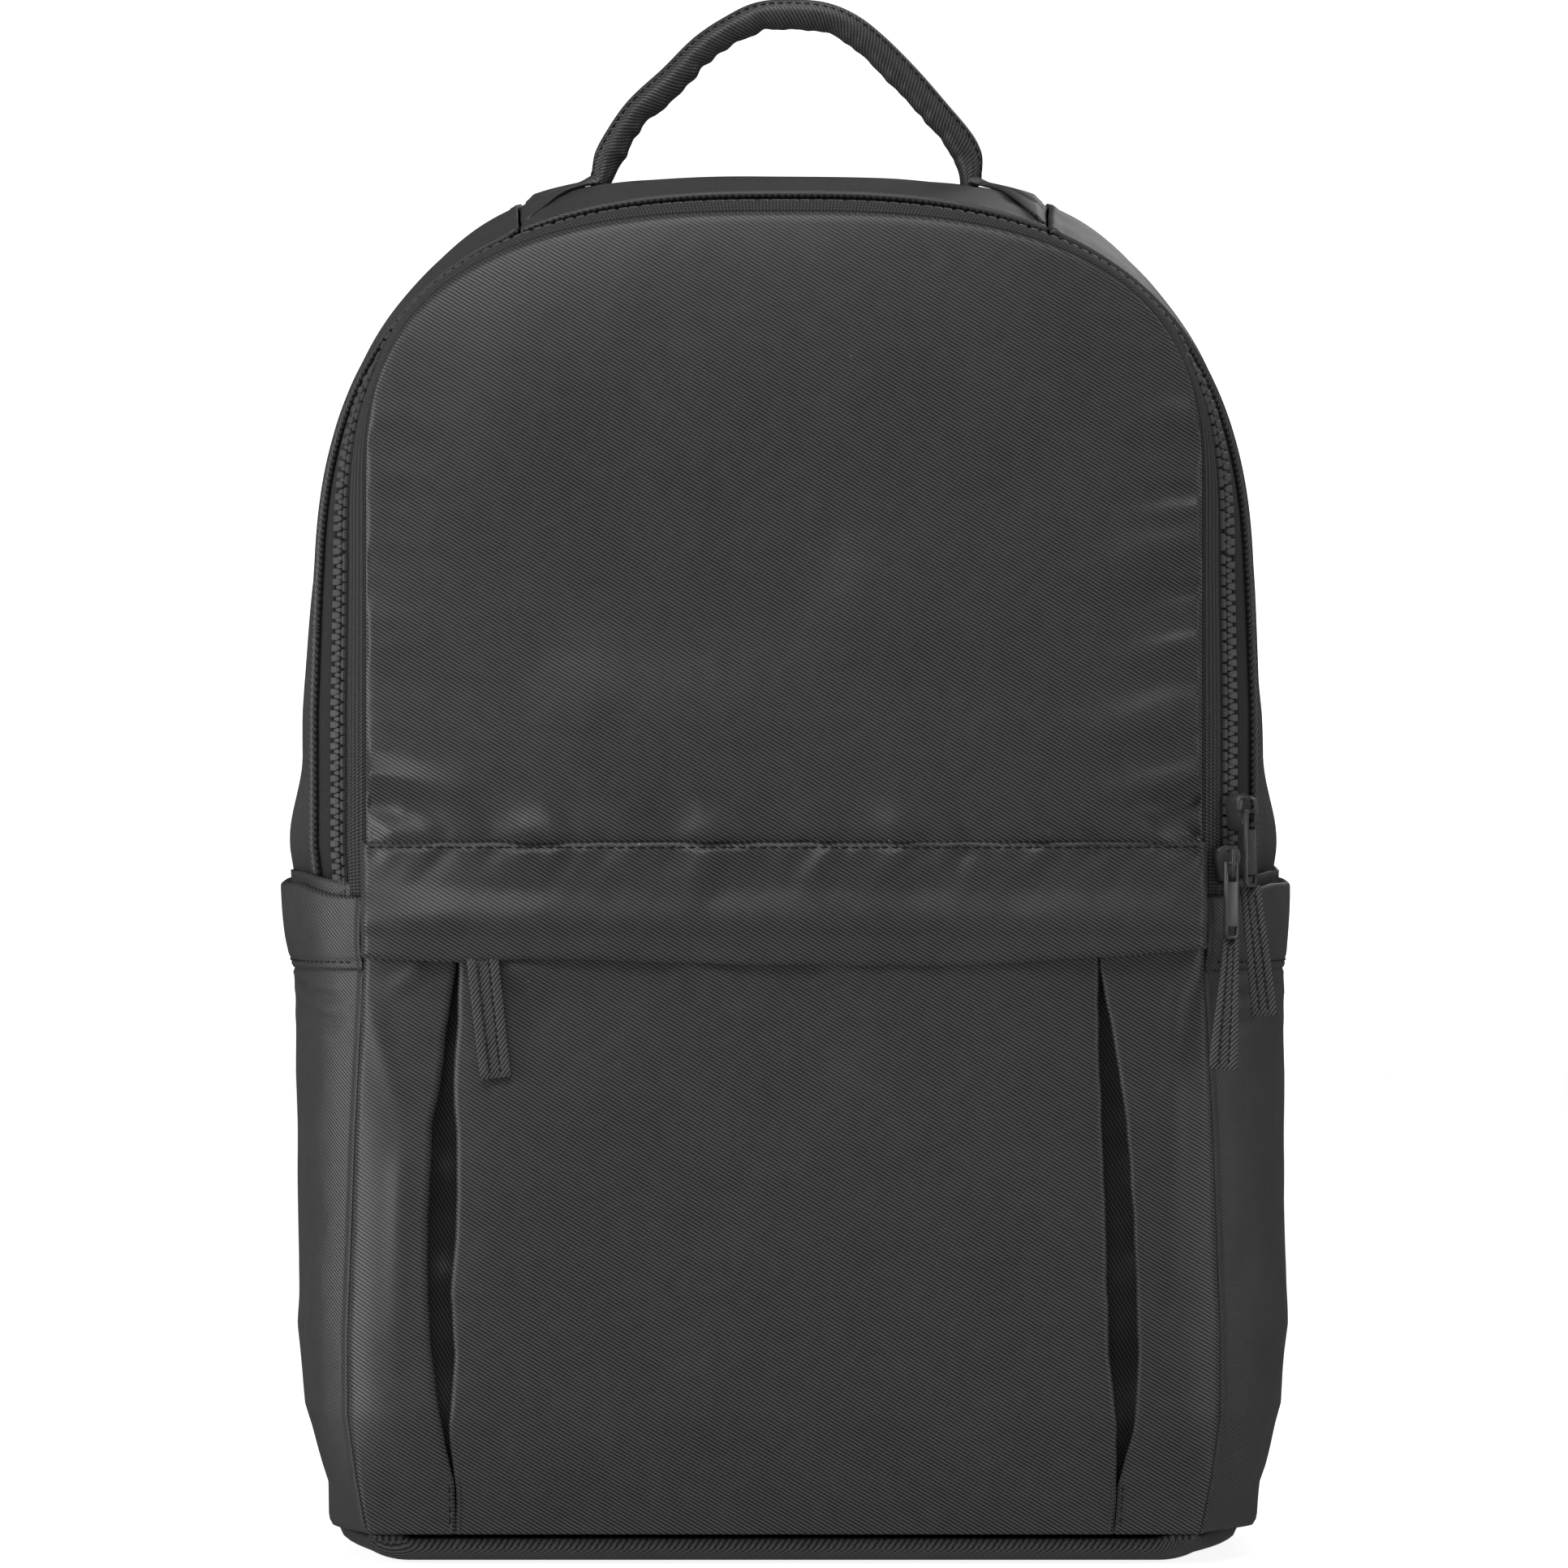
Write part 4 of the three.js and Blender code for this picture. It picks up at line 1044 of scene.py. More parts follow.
def chain_frame(along):
    """Middle point of the chain, and its ways forward, rearward and outward."""
    near = band_offset(along, depth_share(CHAIN_LOW[1]), CHAIN_LOW[2], 0)
    far = band_offset(along, depth_share(CHAIN_HIGH[1]), CHAIN_LOW[2], 0)
    share = depth_share((CHAIN_LOW[1] + CHAIN_HIGH[1]) / 2)
    step = 0.003
    before = band_offset(max(-1, along - step), share, CHAIN_LOW[2], 0)
    after = band_offset(min(1, along + step), share, CHAIN_LOW[2], 0)
    ahead = (after - before).normalized()
    rear = (far - near).normalized()
    out = rear.cross(ahead).normalized()
    middle = (near + far) / 2
    if out.dot(middle - Vector((0, middle.y, 200))) < 0:
        out.negate()
    rear = (rear - ahead * rear.dot(ahead)).normalized()
    return middle, ahead, rear, out


def block(points, faces, middle, axes, sizes, taper=0.78):
    """Adds one small block with a narrower top, along three axes."""
    base = len(points)
    for up, scale in ((-0.5, 1.0), (0.25, 1.0), (0.5, taper)):
        for a, b in ((-1, -1), (1, -1), (1, 1), (-1, 1)):
            spot = middle + axes[0] * (a * sizes[0] / 2 * scale)
            spot = spot + axes[1] * (b * sizes[1] / 2 * scale)
            points.append(spot + axes[2] * (up * sizes[2]))
    for ring in range(2):
        for turn in range(4):
            a = base + ring * 4 + turn
            b = base + ring * 4 + (turn + 1) % 4
            faces.append((a, b, b + 4, a + 4))
    faces.append(tuple(base + turn for turn in (3, 2, 1, 0)))
    faces.append(tuple(base + 8 + turn for turn in range(4)))


def make_chain():
    """The zip's moulded teeth, meshed from both sides, with the beads along the front tape."""
    steps, total = chain_lengths()
    count = int(total[-1] / TOOTH_PITCH)
    points = []
    faces = []
    index = 0
    for number in range(2 * count):
        spot = (number + 0.5) * total[-1] / (2 * count)
        while index < CHAIN_SAMPLES - 1 and total[index + 1] < spot:
            index += 1
        middle, ahead, rear, out = chain_frame(steps[index])
        axes = (ahead, rear, out)
        top = over_arch(steps[index])
        seat = middle + out * (0.5 - 2.3 * top)
        if number % 2:
            block(points, faces, seat + rear * 1.15, axes, REAR_TOOTH_BODY)
            block(points, faces, seat - rear * 0.75, axes, REAR_TOOTH_HEAD)
        else:
            bead = middle + out * (0.4 + 1.3 * top) - rear * 2.75
            block(points, faces, seat - rear * 0.95, axes, FRONT_TOOTH_BODY)
            block(points, faces, seat + rear * 0.35, axes, FRONT_TOOTH_HEAD)
            block(points, faces, bead, axes, TAPE_BEAD, 0.7)
    teeth = new_piece("zip_teeth", points, faces)
    outwards(teeth)
    teeth.data.polygons.foreach_set("use_smooth", [False] * len(teeth.data.polygons))

    def place(s, t):
        along = mix(-1, 1, s)
        share = depth_share(mix(CHAIN_LOW[1], CHAIN_HIGH[1], t))
        return band_offset(along, share, CHAIN_LOW[2], -0.5)

    bed = cloth_sheet("zip_bed", 260, 4, place, 0.8)
    finish_piece(bed, REAR_TAPE, "zip_tape", "zip_chain")
    return finish_piece(teeth, TEETH, "zip_teeth", "zip_chain")


def seam_along(offset):
    """Where a cross seam lies on the band, some millimetres further out, at each depth share."""

    def at(share):
        return 0.5 - arch_angle(CROSS_SEAM_X + offset, share) / math.pi

    return at


GUSSET_START = REAR_TAPE_HIGH[1] + GAP


def cross_seam_dip(along, t):
    """The groove of the seam between the top strip and a side strip."""
    share = depth_share(mix(GUSSET_START, BACK_Y, t))
    distance = abs(band_point(along, share, WALL_FOOT)[0]) - CROSS_SEAM_X
    return 0.9 * math.exp(-(((distance - 1.6) / 1.2) ** 2)) - 0.7 * math.exp(-((distance / 0.5) ** 2))


def gusset_fullness(along, t):
    """How far the stuffed bag pushes the gusset out at the shoulders and above the pockets."""
    share = depth_share(mix(GUSSET_START, BACK_Y, t))
    z = band_point(along, share, WALL_FOOT)[1]
    shoulder = 3.6 * math.exp(-(((abs(along) - 0.15) / 0.075) ** 2))
    mouth = 4.0 * smooth((250 - z) / 26) * smooth((z - 196) / 14)
    waist = (4.6 if along > 0 else 1.3) * math.exp(-(((z - 318) / 46) ** 2))
    return (shoulder + mouth - waist) * smooth(t * 2.6) * smooth((1 - t) * 5)


def gusset_lift(along, t):
    """The gusset's turned front edge, its slow waves and its back seam."""
    edge = 1.9 * math.exp(-((t / 0.05) ** 2)) - 1.6 * math.exp(-((t / 0.014) ** 2))
    slow = 1.0 * wave(along * 300, t * 110, 2, 38.0) + 0.5 * wave(along * 300, t * 110, 7, 15.0)
    fall = 0.8 * wave(along * 90, t * 110, 12, 12.0)
    loose = (slow + fall) * smooth(t * 6) * smooth((1 - t) * 8)
    return edge + loose + gusset_fullness(along, t) - 1.2 * smooth((t - 0.97) / 0.03)


def top_lift(along, t):
    return gusset_lift(along, t) + cross_seam_dip(along, t)


def side_lift(along, t):
    return top_lift(along, t) if abs(along) < 0.4 else gusset_lift(along, t)


def make_gussets():
    """The strip over the top, between its two cross seams, and the two side walls."""
    top_start = seam_along(0)
    side_start = seam_along(0.6)
    make_band("top_cloth", GUSSET_START, BACK_Y, lambda share: -top_start(share), top_start, WALL_FOOT,
              120, 60, top_lift, 1.6, TWILL_SIDE, "cloth", "top_gusset")
    for side, name in SIDES:
        make_band(f"side_cloth_{name}", GUSSET_START, BACK_Y,
                  lambda share, side=side: side * side_start(share),
                  lambda share, side=side: side * 1.0, WALL_FOOT, 190, 60, side_lift, 1.6,
                  TWILL_SIDE, "cloth", f"side_gusset_{name}")


def make_cross_seams():
    """Stitches beside the two seams where the handle's tails end."""
    row_start = seam_along(-2.4)
    for side, name in SIDES:

        def path(s, side=side):
            share = depth_share(mix(GUSSET_START + 3, BACK_Y - 4, s))
            point = band_offset(side * row_start(share), share, WALL_FOOT, 0.55)
            return point, (point - Vector((0, point.y, 250))).normalized()

        thread_row(f"cross_stitches_{name}", path, radius=0.3)


# Side pockets

# Drooping ridges under a side pocket's hem: distance below it, lift and half height
HEM_RIDGES = table(
    "drop lift half",
    (4.0, 0.7, 1.5),
    (7.0, -0.5, 1.3),
    (10.5, 0.8, 1.7),
    (14.5, -0.5, 1.6),
    (19.0, 0.5, 2.0),
)
# Millimetres that the stuffed bag adds to each side pocket's outer face, by height
POCKET_TRIM = table(
    "height left right",
    (9, 5.5, 11.0),
    (22, 0.4, 6.4),
    (40, -1.4, 4.2),
    (56, -2.4, 3.0),
    (80, -3.4, 2.0),
    (110, -3.3, 1.0),
    (176, -3.6, 0.2),
    (192, -2.2, -0.6),
    (212, -1.6, -1.0),
)
POCKET_START = -0.030


def side_pocket_surface(side, z, share):
    """A side pocket's outer face with the gathers under its hem."""
    turn = 1.5 * clamp(1 - (share - POCKET_START) / 0.022) ** 2
    share = max(0.0, share)
    half = side_pocket_half_width(z, share) - turn
    below = HEM_FOOT - z
    near = 1 - smooth((share - 0.22) / 0.25)
    gather = 0.0
    if below > 0:
        for ridge in HEM_RIDGES:
            sway = 2.0 * wave(share * 90, ridge["drop"], 4 * side, 16.0)
            sag = ridge["drop"] + sway - 14 * (share - 0.12)
            gather += ridge["lift"] * near * math.exp(-(((below - sag) / ridge["half"]) ** 2))
        gather += mix(0.35, 0.9, near) * wave(share * 110, z, 14 * side, 26.0)
        gather += mix(0.1, 0.5, near) * wave(share * 110, z * 0.6, 4, 9.0)
    else:
        gather += mix(0.15, 0.5, near) * wave(share * 110, z, 24 * side, 15.0)
    ends = smooth(share * 14) * smooth((1 - share) * 9)
    foot = smooth((z - WALL_FOOT) / 20)
    trim = column(POCKET_TRIM, "right" if side > 0 else "left", z)
    trim *= smooth(share * 4) * smooth((1 - share) / POCKET_BACK_TURN)
    tuck = 1.4 * clamp((WALL_FOOT + 3.4 - z) / 3.4) ** 2
    return half + gather * ends * foot + trim - tuck


def mouth_height(share):
    """The hem's top edge: low at the front seam and a little higher at the side."""
    return SIDE_POCKET_TOP - 4.0 * (1 - smooth(share * 5)) + 1.0 * smooth((share - 0.3) * 2)


def make_side_pocket(side, name):
    """The pocket's wall, its stitched hem and the second edge behind the mouth."""

    def wall(s, t):
        share = mix(POCKET_START, 1, s ** 1.8)
        z = mix(WALL_FOOT, HEM_FOOT + 1.6, t)
        tuck = 1.7 * smooth((z - HEM_FOOT + 0.5) / 1.4)
        return Vector((side * (side_pocket_surface(side, z, share) - tuck), depth_y(share), z))

    piece = cloth_sheet(f"side_pocket_cloth_{name}", 84, 110, wall, 1.2,
                        flat=lambda p: (p.y * side + p.x, p.z))
    finish_piece(piece, TWILL_SIDE, "cloth", f"side_pocket_{name}")
    body = 0.76

    def hem(s, t):
        share = mix(POCKET_START, 1, s ** 1.8)
        top = mouth_height(share) - EDGE_ROLL
        z = mix(HEM_FOOT, top, clamp(t / body))
        groove = math.exp(-(((z - HEM_FOOT - 2.4) / 0.9) ** 2))
        out = 0.5 + 0.6 * math.sin(math.pi * clamp(t / body)) - 0.45 * groove - 0.5 * clamp(1 - t / 0.04)
        half = side_pocket_surface(side, max(z, HEM_FOOT), share) + out
        if t > body:
            turn = (t - body) / (1 - body) * math.pi
            z = top + EDGE_ROLL * 0.8 * math.sin(turn)
            half -= EDGE_ROLL * 0.8 * (1 - math.cos(turn))
        return Vector((side * half, depth_y(share), z))

    piece = cloth_sheet(f"side_hem_cloth_{name}", 84, 32, hem, 0.9,
                        flat=lambda p: (p.y * side + p.x, p.z + 5))
    finish_piece(piece, TWILL_SIDE, "cloth", f"side_hem_{name}")

    def lining(s, t):
        share = mix(0.02, 0.94, s)
        z = mix(HEM_FOOT + 8, mouth_height(share) + 3.2 + 0.8 * wave(share * 110, 3, side, 14.0), t)
        inset = 3.0 + 0.8 * wave(share * 110, 9, side, 9.0) + 1.0 * (1 - t)
        half = side_pocket_surface(side, HEM_HIGH[2], share) - inset
        return Vector((side * half, depth_y(share), z))

    piece = cloth_sheet(f"side_lining_cloth_{name}", 60, 14, lining, 1.2,
                        flat=lambda p: (p.y * side + p.x, p.z))
    finish_piece(piece, TWILL_SIDE, "cloth")

    def seam(s):
        share = mix(0.01, 0.96, s)
        z = HEM_FOOT + 2.4
        half = side_pocket_surface(side, z, share) + 0.4
        return Vector((side * half, depth_y(share), z)), Vector((side * 0.9, -0.3, 0)).normalized()

    thread_row(f"hem_stitches_{name}", seam)


# Millimetres that the stuffed bag adds to each side of the base
BASE_TRIM = {"left": 6.0, "right": 9.0}
BASE_CORNER = 14.0


def turned(value):
    """Spreads 0 to 1 over -1 to 1, with its steps closer together near the ends."""
    return math.copysign(abs(2 * value - 1) ** 0.5, value - 0.5)


def make_bottom():
    """The base: flat in the middle, its rim turned up to the walls."""
    end_y = node_box("bottom_panel")[1][1]

    def place(s, t):
        y = turned(t) * end_y
        share = depth_share(y)
        trim = BASE_TRIM["right" if s > 0.5 else "left"]
        half = side_half_width(WALL_FOOT, share) + trim * smooth((share - 0.12) * 3)
        x = turned(s) * half
        edge_x = clamp((abs(x) - half + BASE_CORNER) / BASE_CORNER)
        edge_y = clamp((abs(y) - end_y + BASE_CORNER) / BASE_CORNER)
        edge = clamp(math.hypot(edge_x, edge_y))
        return Vector((x, y, (WALL_FOOT - CLOTH) * (1 - math.sqrt(1 - edge ** 2))))

    piece = cloth_sheet("base_cloth", 90, 60, place, 1.8, flat=lambda p: (p.x, p.y),
                        outward=lambda centre: Vector((0, 0, -1)))
    finish_piece(piece, TWILL_SIDE, "cloth", "bottom_panel")


def make_end_strips():
    """The cloth under the zip's ends, behind the side pockets."""
    for side, name in SIDES:
        top = node_box(f"zip_end_strip_{name}")[1][2]

        def start(share, side=side, top=top):
            spring = outline(share)[3]
            return side * (0.5 + 0.5 * (spring - top) / (spring - WALL_FOOT))

        make_band(f"zip_end_cloth_{name}", TAPE_LOW[1], REAR_TAPE_HIGH[1], start,
                  lambda share, side=side: side * 1.0, WALL_FOOT, 50, 8, lambda along, t: 0.0, 1.6,
                  TWILL_SIDE, "cloth", f"zip_end_strip_{name}")


# Handle

# Radians round the roll, from its outer side towards the rear
HANDLE_SEAM_ANGLE = 5.35
HANDLE_ROW_ANGLE = 5.55


def handle_line(steps):
    """The middle line of the rolled handle."""
    foot = HANDLE_LOW[2]
    crest = HANDLE_HIGH[2] - HANDLE_RADIUS
    half = HANDLE_HIGH[0] - HANDLE_RADIUS
    left = [(-half * row["left"], HANDLE_Y, mix(foot, crest, row["up"])) for row in HANDLE_ROWS]
    right = [(half * row["right"], HANDLE_Y, mix(foot, crest, row["up"])) for row in reversed(HANDLE_ROWS)]
    return curve_line(left + right[1:], steps)


def make_handle():
    """A rolled tube, gathered along its inner side, with a seam near its outer edge."""
    line = handle_line(260)
    count = len(line)
    total = spread(line)
    sides = 28
    points = []
    spots = []
    for index, spot in enumerate(line):
        before = line[max(0, index - 1)]
        after = line[min(count - 1, index + 1)]
        tangent = (after - before).normalized()
        out = Vector((-tangent.z, 0, tangent.x))
        share = index / (count - 1)
        ends = smooth(min(share, 1 - share) * 10)
        for turn in range(sides):
            angle = 2 * math.pi * turn / sides
            up = math.cos(angle)
            side = math.sin(angle)
            inner = clamp(-up + 0.15)
            gather = inner * (0.9 * wave(total[index], 2, 1, 6.5) + 0.6 * wave(total[index], 7, 4, 3.6))
            seam = -0.55 * math.exp(-(((angle - HANDLE_SEAM_ANGLE) / 0.10) ** 2))
            radius = HANDLE_RADIUS * (1 + 0.04 * wave(total[index], 9, 2, 18.0))
            radius += (gather * 0.9 + seam) * ends
            rise = radius * up * mix(0.62, 1.0, ends)
            points.append(spot + out * rise + REARWARD * (side * radius * mix(1.3, 1.0, ends)))
            spots.append((turn / sides * 2 * math.pi * HANDLE_RADIUS, total[index]))
    piece = new_piece("handle_roll", points, tube_faces(count, sides), spots)
    outwards(piece)
    finish_piece(piece, TWILL, "cloth", "grab_handle")

    def seam_path(s):
        spot = mix(0.03, 0.97, s) * (count - 1)
        index = min(int(spot), count - 2)
        tangent = (line[index + 1] - line[index]).normalized()
        middle = line[index].lerp(line[index + 1], spot - index)
        out = Vector((-tangent.z, 0, tangent.x))
        way = (out * math.cos(HANDLE_ROW_ANGLE) + REARWARD * math.sin(HANDLE_ROW_ANGLE)).normalized()
        return middle + way * (HANDLE_RADIUS - 0.1), way

    thread_row("handle_stitches", seam_path, pitch=2.8, length=1.9, radius=0.26)


TAIL_START = TAIL_LOW[0] - 6
TAIL_END = TAIL_HIGH[0] - 0.4
TAIL_WIDTH = 13.0
TAIL_END_WIDTH = 52.0
TAIL_FORWARD = 18.0


def make_handle_tails():
    """The flat ends of the handle, spreading out to the cross seams."""
    for side, name in SIDES:

        def place(s, t, side=side):
            x = mix(TAIL_START, TAIL_END, s)
            spread_share = smooth((s - 0.1) / 0.9)
            width = mix(TAIL_WIDTH, TAIL_END_WIDTH, spread_share)
            y = HANDLE_Y - TAIL_FORWARD * spread_share + width * (t - 0.5)
            rim = 1 - abs(2 * t - 1) ** 4
            lift = 1.3 + 0.9 * rim + 2.4 * (1 - smooth(s * 3)) * rim - 1.2 * smooth((s - 0.9) / 0.1)
            crease = 0.9 * math.exp(-(((t - 0.3) / 0.05) ** 2))
            crease += 0.7 * math.exp(-(((t - 0.68) / 0.06) ** 2))
            share = depth_share(y)
            along = 0.5 - arch_angle(x, share) / math.pi
            full = gusset_fullness(along, (y - GUSSET_START) / (BACK_Y - GUSSET_START))
            return Vector((side * x, y, top_height(x, share) + full + lift - crease * smooth(s * 2)))

        piece = cloth_sheet(f"handle_tail_cloth_{name}", 40, 60, place, 1.1,
                            flat=lambda p: (p.x, p.y), outward=lambda centre: Vector((0, 0, 1)))
        finish_piece(piece, TWILL, "cloth", f"handle_tail_{name}")


# Sliders, pulls and ribbons


def rounded_node(name, node, material, slot, bevel, segments=2):
    """A copy of a node's own shape with its corners rounded."""
    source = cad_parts[node]
    mesh = source.data.copy()
    piece = bpy.data.objects.new(name, mesh)
    bpy.context.scene.collection.objects.link(piece)
    use_only(piece)
    bpy.ops.object.mode_set(mode="EDIT")
    bpy.ops.mesh.select_all(action="SELECT")
    bpy.ops.mesh.remove_doubles(threshold=0.00002)
    bpy.ops.mesh.dissolve_limited(angle_limit=math.radians(3))
    bpy.ops.object.mode_set(mode="OBJECT")
    apply_modifier(piece, "BEVEL", width=bevel * MM, segments=segments, limit_method="ANGLE",
                   angle_limit=math.radians(35))
    bpy.ops.object.shade_smooth_by_angle(angle=math.radians(40))
    return finish_piece(piece, material, slot, node)


def make_sliders():
    """The main zip's two sliders and their pullers."""
    for name in ("upper", "lower"):
        rounded_node(f"zip_slider_{name}", f"slider_{name}", METAL, "metal", bevel=0.35)
        rounded_node(f"zip_pull_{name}", f"puller_{name}", METAL, "metal", bevel=0.22)


RIBBON_STEPS = 16
POCKET_PULL_TOP_X = -92.6
POCKET_PULL_END_X = -88.4


def make_ribbon(name, line, width, end_width, node):
    """A folded pull ribbon with two rows of stitches and one cross row."""

    def wide(s):
        return mix(width, end_width, smooth(s))

    def folded(reach):
        return 0.5 + 0.5 * smooth((reach - 0.38) / 0.1) - 0.3 * reach ** 12

    piece = strip_mesh(name, line, ACROSS, wide, 1.9, 24, folded)
    finish_piece(piece, RIBBON, "ribbon", node)
    last = len(line) - 1
    for row, offset in (("left", -0.17), ("right", 0.17)):
        def path(s, offset=offset):
            spot = mix(0.05, 0.96, s) * last
            index = min(int(spot), last - 1)
            point = Vector(line[index]).lerp(Vector(line[index + 1]), spot - index)
            tangent = (Vector(line[index + 1]) - Vector(line[index])).normalized()
            side = (ACROSS - tangent * tangent.x).normalized()
            shift = side * (offset * wide(s) + 0.12 * wave(spot, offset * 50, 3, 2.0))
            return point + shift + FORWARD * 0.62, FORWARD

        thread_row(f"{name}_stitches_{row}", path, pitch=2.0, length=1.5, radius=0.34)

    def cross(s):
        return Vector(line[0]) + Vector((mix(-0.3, 0.3, s) * width, -0.95, -5.6 - s)), FORWARD

    thread_row(f"{name}_stitches_cross", cross, pitch=1.6, length=1.2, radius=0.3)


def box_line(node, lean):
    """A gently bent line down the middle of a hanging node."""
    low, high = node_box(node)
    middle = (low[0] + high[0]) / 2
    run = (high[0] - low[0]) / 2 - 3.7
    line = []
    for step in range(RIBBON_STEPS + 1):
        share = step / RIBBON_STEPS
        x = middle + lean * run * (2 * share - 1)
        y = mix(high[1], low[1], share ** 0.8) + 0.8 - 1.6 * math.sin(math.pi * share)
        line.append(Vector((x, y, mix(high[2], low[2], share))))
    return line


def make_ribbons():
    """The three pull ribbons: two on the main zip, one under the flap."""
    make_ribbon("pull_ribbon_upper", box_line("ribbon_upper", 1), 6.4, 7.8, "ribbon_upper")
    make_ribbon("pull_ribbon_lower", box_line("ribbon_lower", -1), 5.0, 8.6, "ribbon_lower")
    low, high = node_box("pocket_ribbon")
    line = []
    for step in range(RIBBON_STEPS + 1):
        share = step / RIBBON_STEPS
        z = mix(high[2] + 2.0, low[2], share)
        x = mix(POCKET_PULL_TOP_X, POCKET_PULL_END_X, share)
        y = pocket_y(x, z) - CENTRE_LOFT - 2.4 - 1.2 * math.sin(math.pi * share) + 0.6 * (1 - share)
        line.append(Vector((x, y, z)))
    make_ribbon("pocket_pull_ribbon", line, 9.8, 9.4, "pocket_ribbon")


# The back and the shoulder straps


def padded_cloth(piece, voxel, pressure, cap):
    """Swells a closed piece as stuffed cloth and keeps it near its own shape."""
    use_only(piece)
    apply_modifier(piece, "REMESH", mode="VOXEL", voxel_size=voxel * MM)
    rest = [vertex.co.copy() for vertex in piece.data.vertices]
    use_only(piece)
    cloth = piece.modifiers.new("Cloth", "CLOTH")
    cloth.settings.quality = 4
    cloth.settings.mass = 0.2
    cloth.settings.tension_stiffness = 20
    cloth.settings.compression_stiffness = 20
    cloth.settings.shear_stiffness = 8
    cloth.settings.bending_stiffness = 1.5
    cloth.settings.use_pressure = True
    cloth.settings.uniform_pressure_force = pressure
    cloth.settings.effector_weights.gravity = 0
    cloth.collision_settings.use_collision = False
    scene = bpy.context.scene
    for step in range(1, 21):
        scene.frame_set(step)
    moved = piece.evaluated_get(bpy.context.evaluated_depsgraph_get()).data
    swollen = [vertex.co.copy() for vertex in moved.vertices]
    piece.modifiers.remove(cloth)
    for vertex, start, end in zip(piece.data.vertices, rest, swollen):
        shift = end - start
        if shift.length > cap * MM:
            shift = shift.normalized() * cap * MM
        vertex.co = start + shift
    scene.frame_set(1)
    piece.data.polygons.foreach_set("use_smooth", [True] * len(piece.data.polygons))


def flat_map(piece, across, along):
    """Lays the cloth map straight onto two axes of a piece, in millimetres."""
    mesh = piece.data
    layer = mesh.uv_layers.get("cloth") or mesh.uv_layers.new(name="cloth")
    for loop in mesh.loops:
        spot = mesh.vertices[loop.vertex_index].co / MM
        layer.data[loop.index].uv = (spot[across], spot[along])


def back_y(x, z):
    """The back pad's outer face, a little thinner at its seam."""
    return BACK_Y + GAP + BACK_PAD * (0.68 + 0.32 * (1 - face_reach(x, z, 1) ** 6))


BACK_COLUMNS = 70
BACK_ROWS = 84
CHANNEL_X = 46.0
CHANNEL_FOOT = 60.0
CHANNEL_TOP = 372.0


def back_place(s, t):
    """The x and z of a point of the back, from the foot to the arch."""
    angle = math.pi * (1 - s)
    z = mix(WALL_FOOT, arch_point(angle, 1)[1], t)
    return reach_at(angle) * side_half_width(z, 1), z


def make_back_wall():
    """The plain cloth behind the pad, sewn to the gussets all round."""

    def place(s, t):
        x, z = back_place(s, t)
        return Vector((x, BACK_Y + GAP + 2.6, z))

    wall = cloth_sheet("back_wall_cloth", BACK_COLUMNS, BACK_ROWS, place, 1.6,
                       flat=face_map, outward=lambda centre: REARWARD)
    finish_piece(wall, TWILL_SIDE, "cloth")


def channel_dip(x, z):
    """How deep the pad's two upright channels are at a point."""
    ends = smooth((z - CHANNEL_FOOT) / 40) * smooth((CHANNEL_TOP - z) / 40)
    return 3.4 * math.exp(-(((abs(x) - CHANNEL_X) / 5.0) ** 2)) * ends


def make_back_panel():
    """The padded back: one quilted wall with two soft channels down it."""

    def place(s, t, outer):
        x, z = back_place(s, t)
        return Vector((x, back_y(x, z) - 1.0 if outer else BACK_Y + GAP, z))

    columns = BACK_COLUMNS
    rows = BACK_ROWS
    points = []
    for outer in (True, False):
        points += [place(i / columns, j / rows, outer) for i in range(columns + 1) for j in range(rows + 1)]
    sheet = (columns + 1) * (rows + 1)
    faces = []
    for i in range(columns):
        for j in range(rows):
            a = i * (rows + 1) + j
            quad = (a, a + rows + 1, a + rows + 2, a + 1)
            faces.append(quad)
            faces.append(tuple(reversed([corner + sheet for corner in quad])))
    rim = [i * (rows + 1) for i in range(columns + 1)]
    rim += [columns * (rows + 1) + j for j in range(1, rows + 1)]
    rim += [i * (rows + 1) + rows for i in range(columns - 1, -1, -1)]
    rim += list(range(rows - 1, 0, -1))
    for a, b in zip(rim, rim[1:] + rim[:1]):
        faces.append((a, a + sheet, b + sheet, b))
    piece = new_piece("back_pad", points, faces)
    outwards(piece)
    padded_cloth(piece, voxel=5.0, pressure=3.0, cap=3.0)
    for vertex in piece.data.vertices:
        x, y, z = vertex.co / MM
        if y > BACK_Y + BACK_PAD * 0.5:
            vertex.co.y -= channel_dip(x, z) * MM
        vertex.co.y = max(vertex.co.y, (BACK_Y + GAP) * MM)
    apply_modifier(piece, "SUBSURF", levels=1, render_levels=1)
    flat_map(piece, 0, 2)
    finish_piece(piece, TWILL_SIDE, "cloth", "back_panel")


# A shoulder strap's line: shares of its drop, of its way outwards and of its bow
STRAP_ROWS = table(
    "drop outward bow",
    (0.00, 0.00, 0.00),
    (0.03, 0.01, 0.26),
    (0.12, 0.05, 0.62),
    (0.28, 0.14, 0.92),
    (0.48, 0.33, 1.00),
    (0.68, 0.58, 0.88),
    (0.86, 0.82, 0.64),
    (1.00, 1.00, 0.42),
)
STRAP = {"width": 56.0, "wall": 11.0, "top_x": 44.0, "end_x": 92.0, "top": 404.0, "end": 142.0, "bow": 40.0}
WEBBING_END_X = 118.6
STRAP_Y = BACK_Y + 2 * GAP + BACK_PAD + STRAP["wall"] / 2


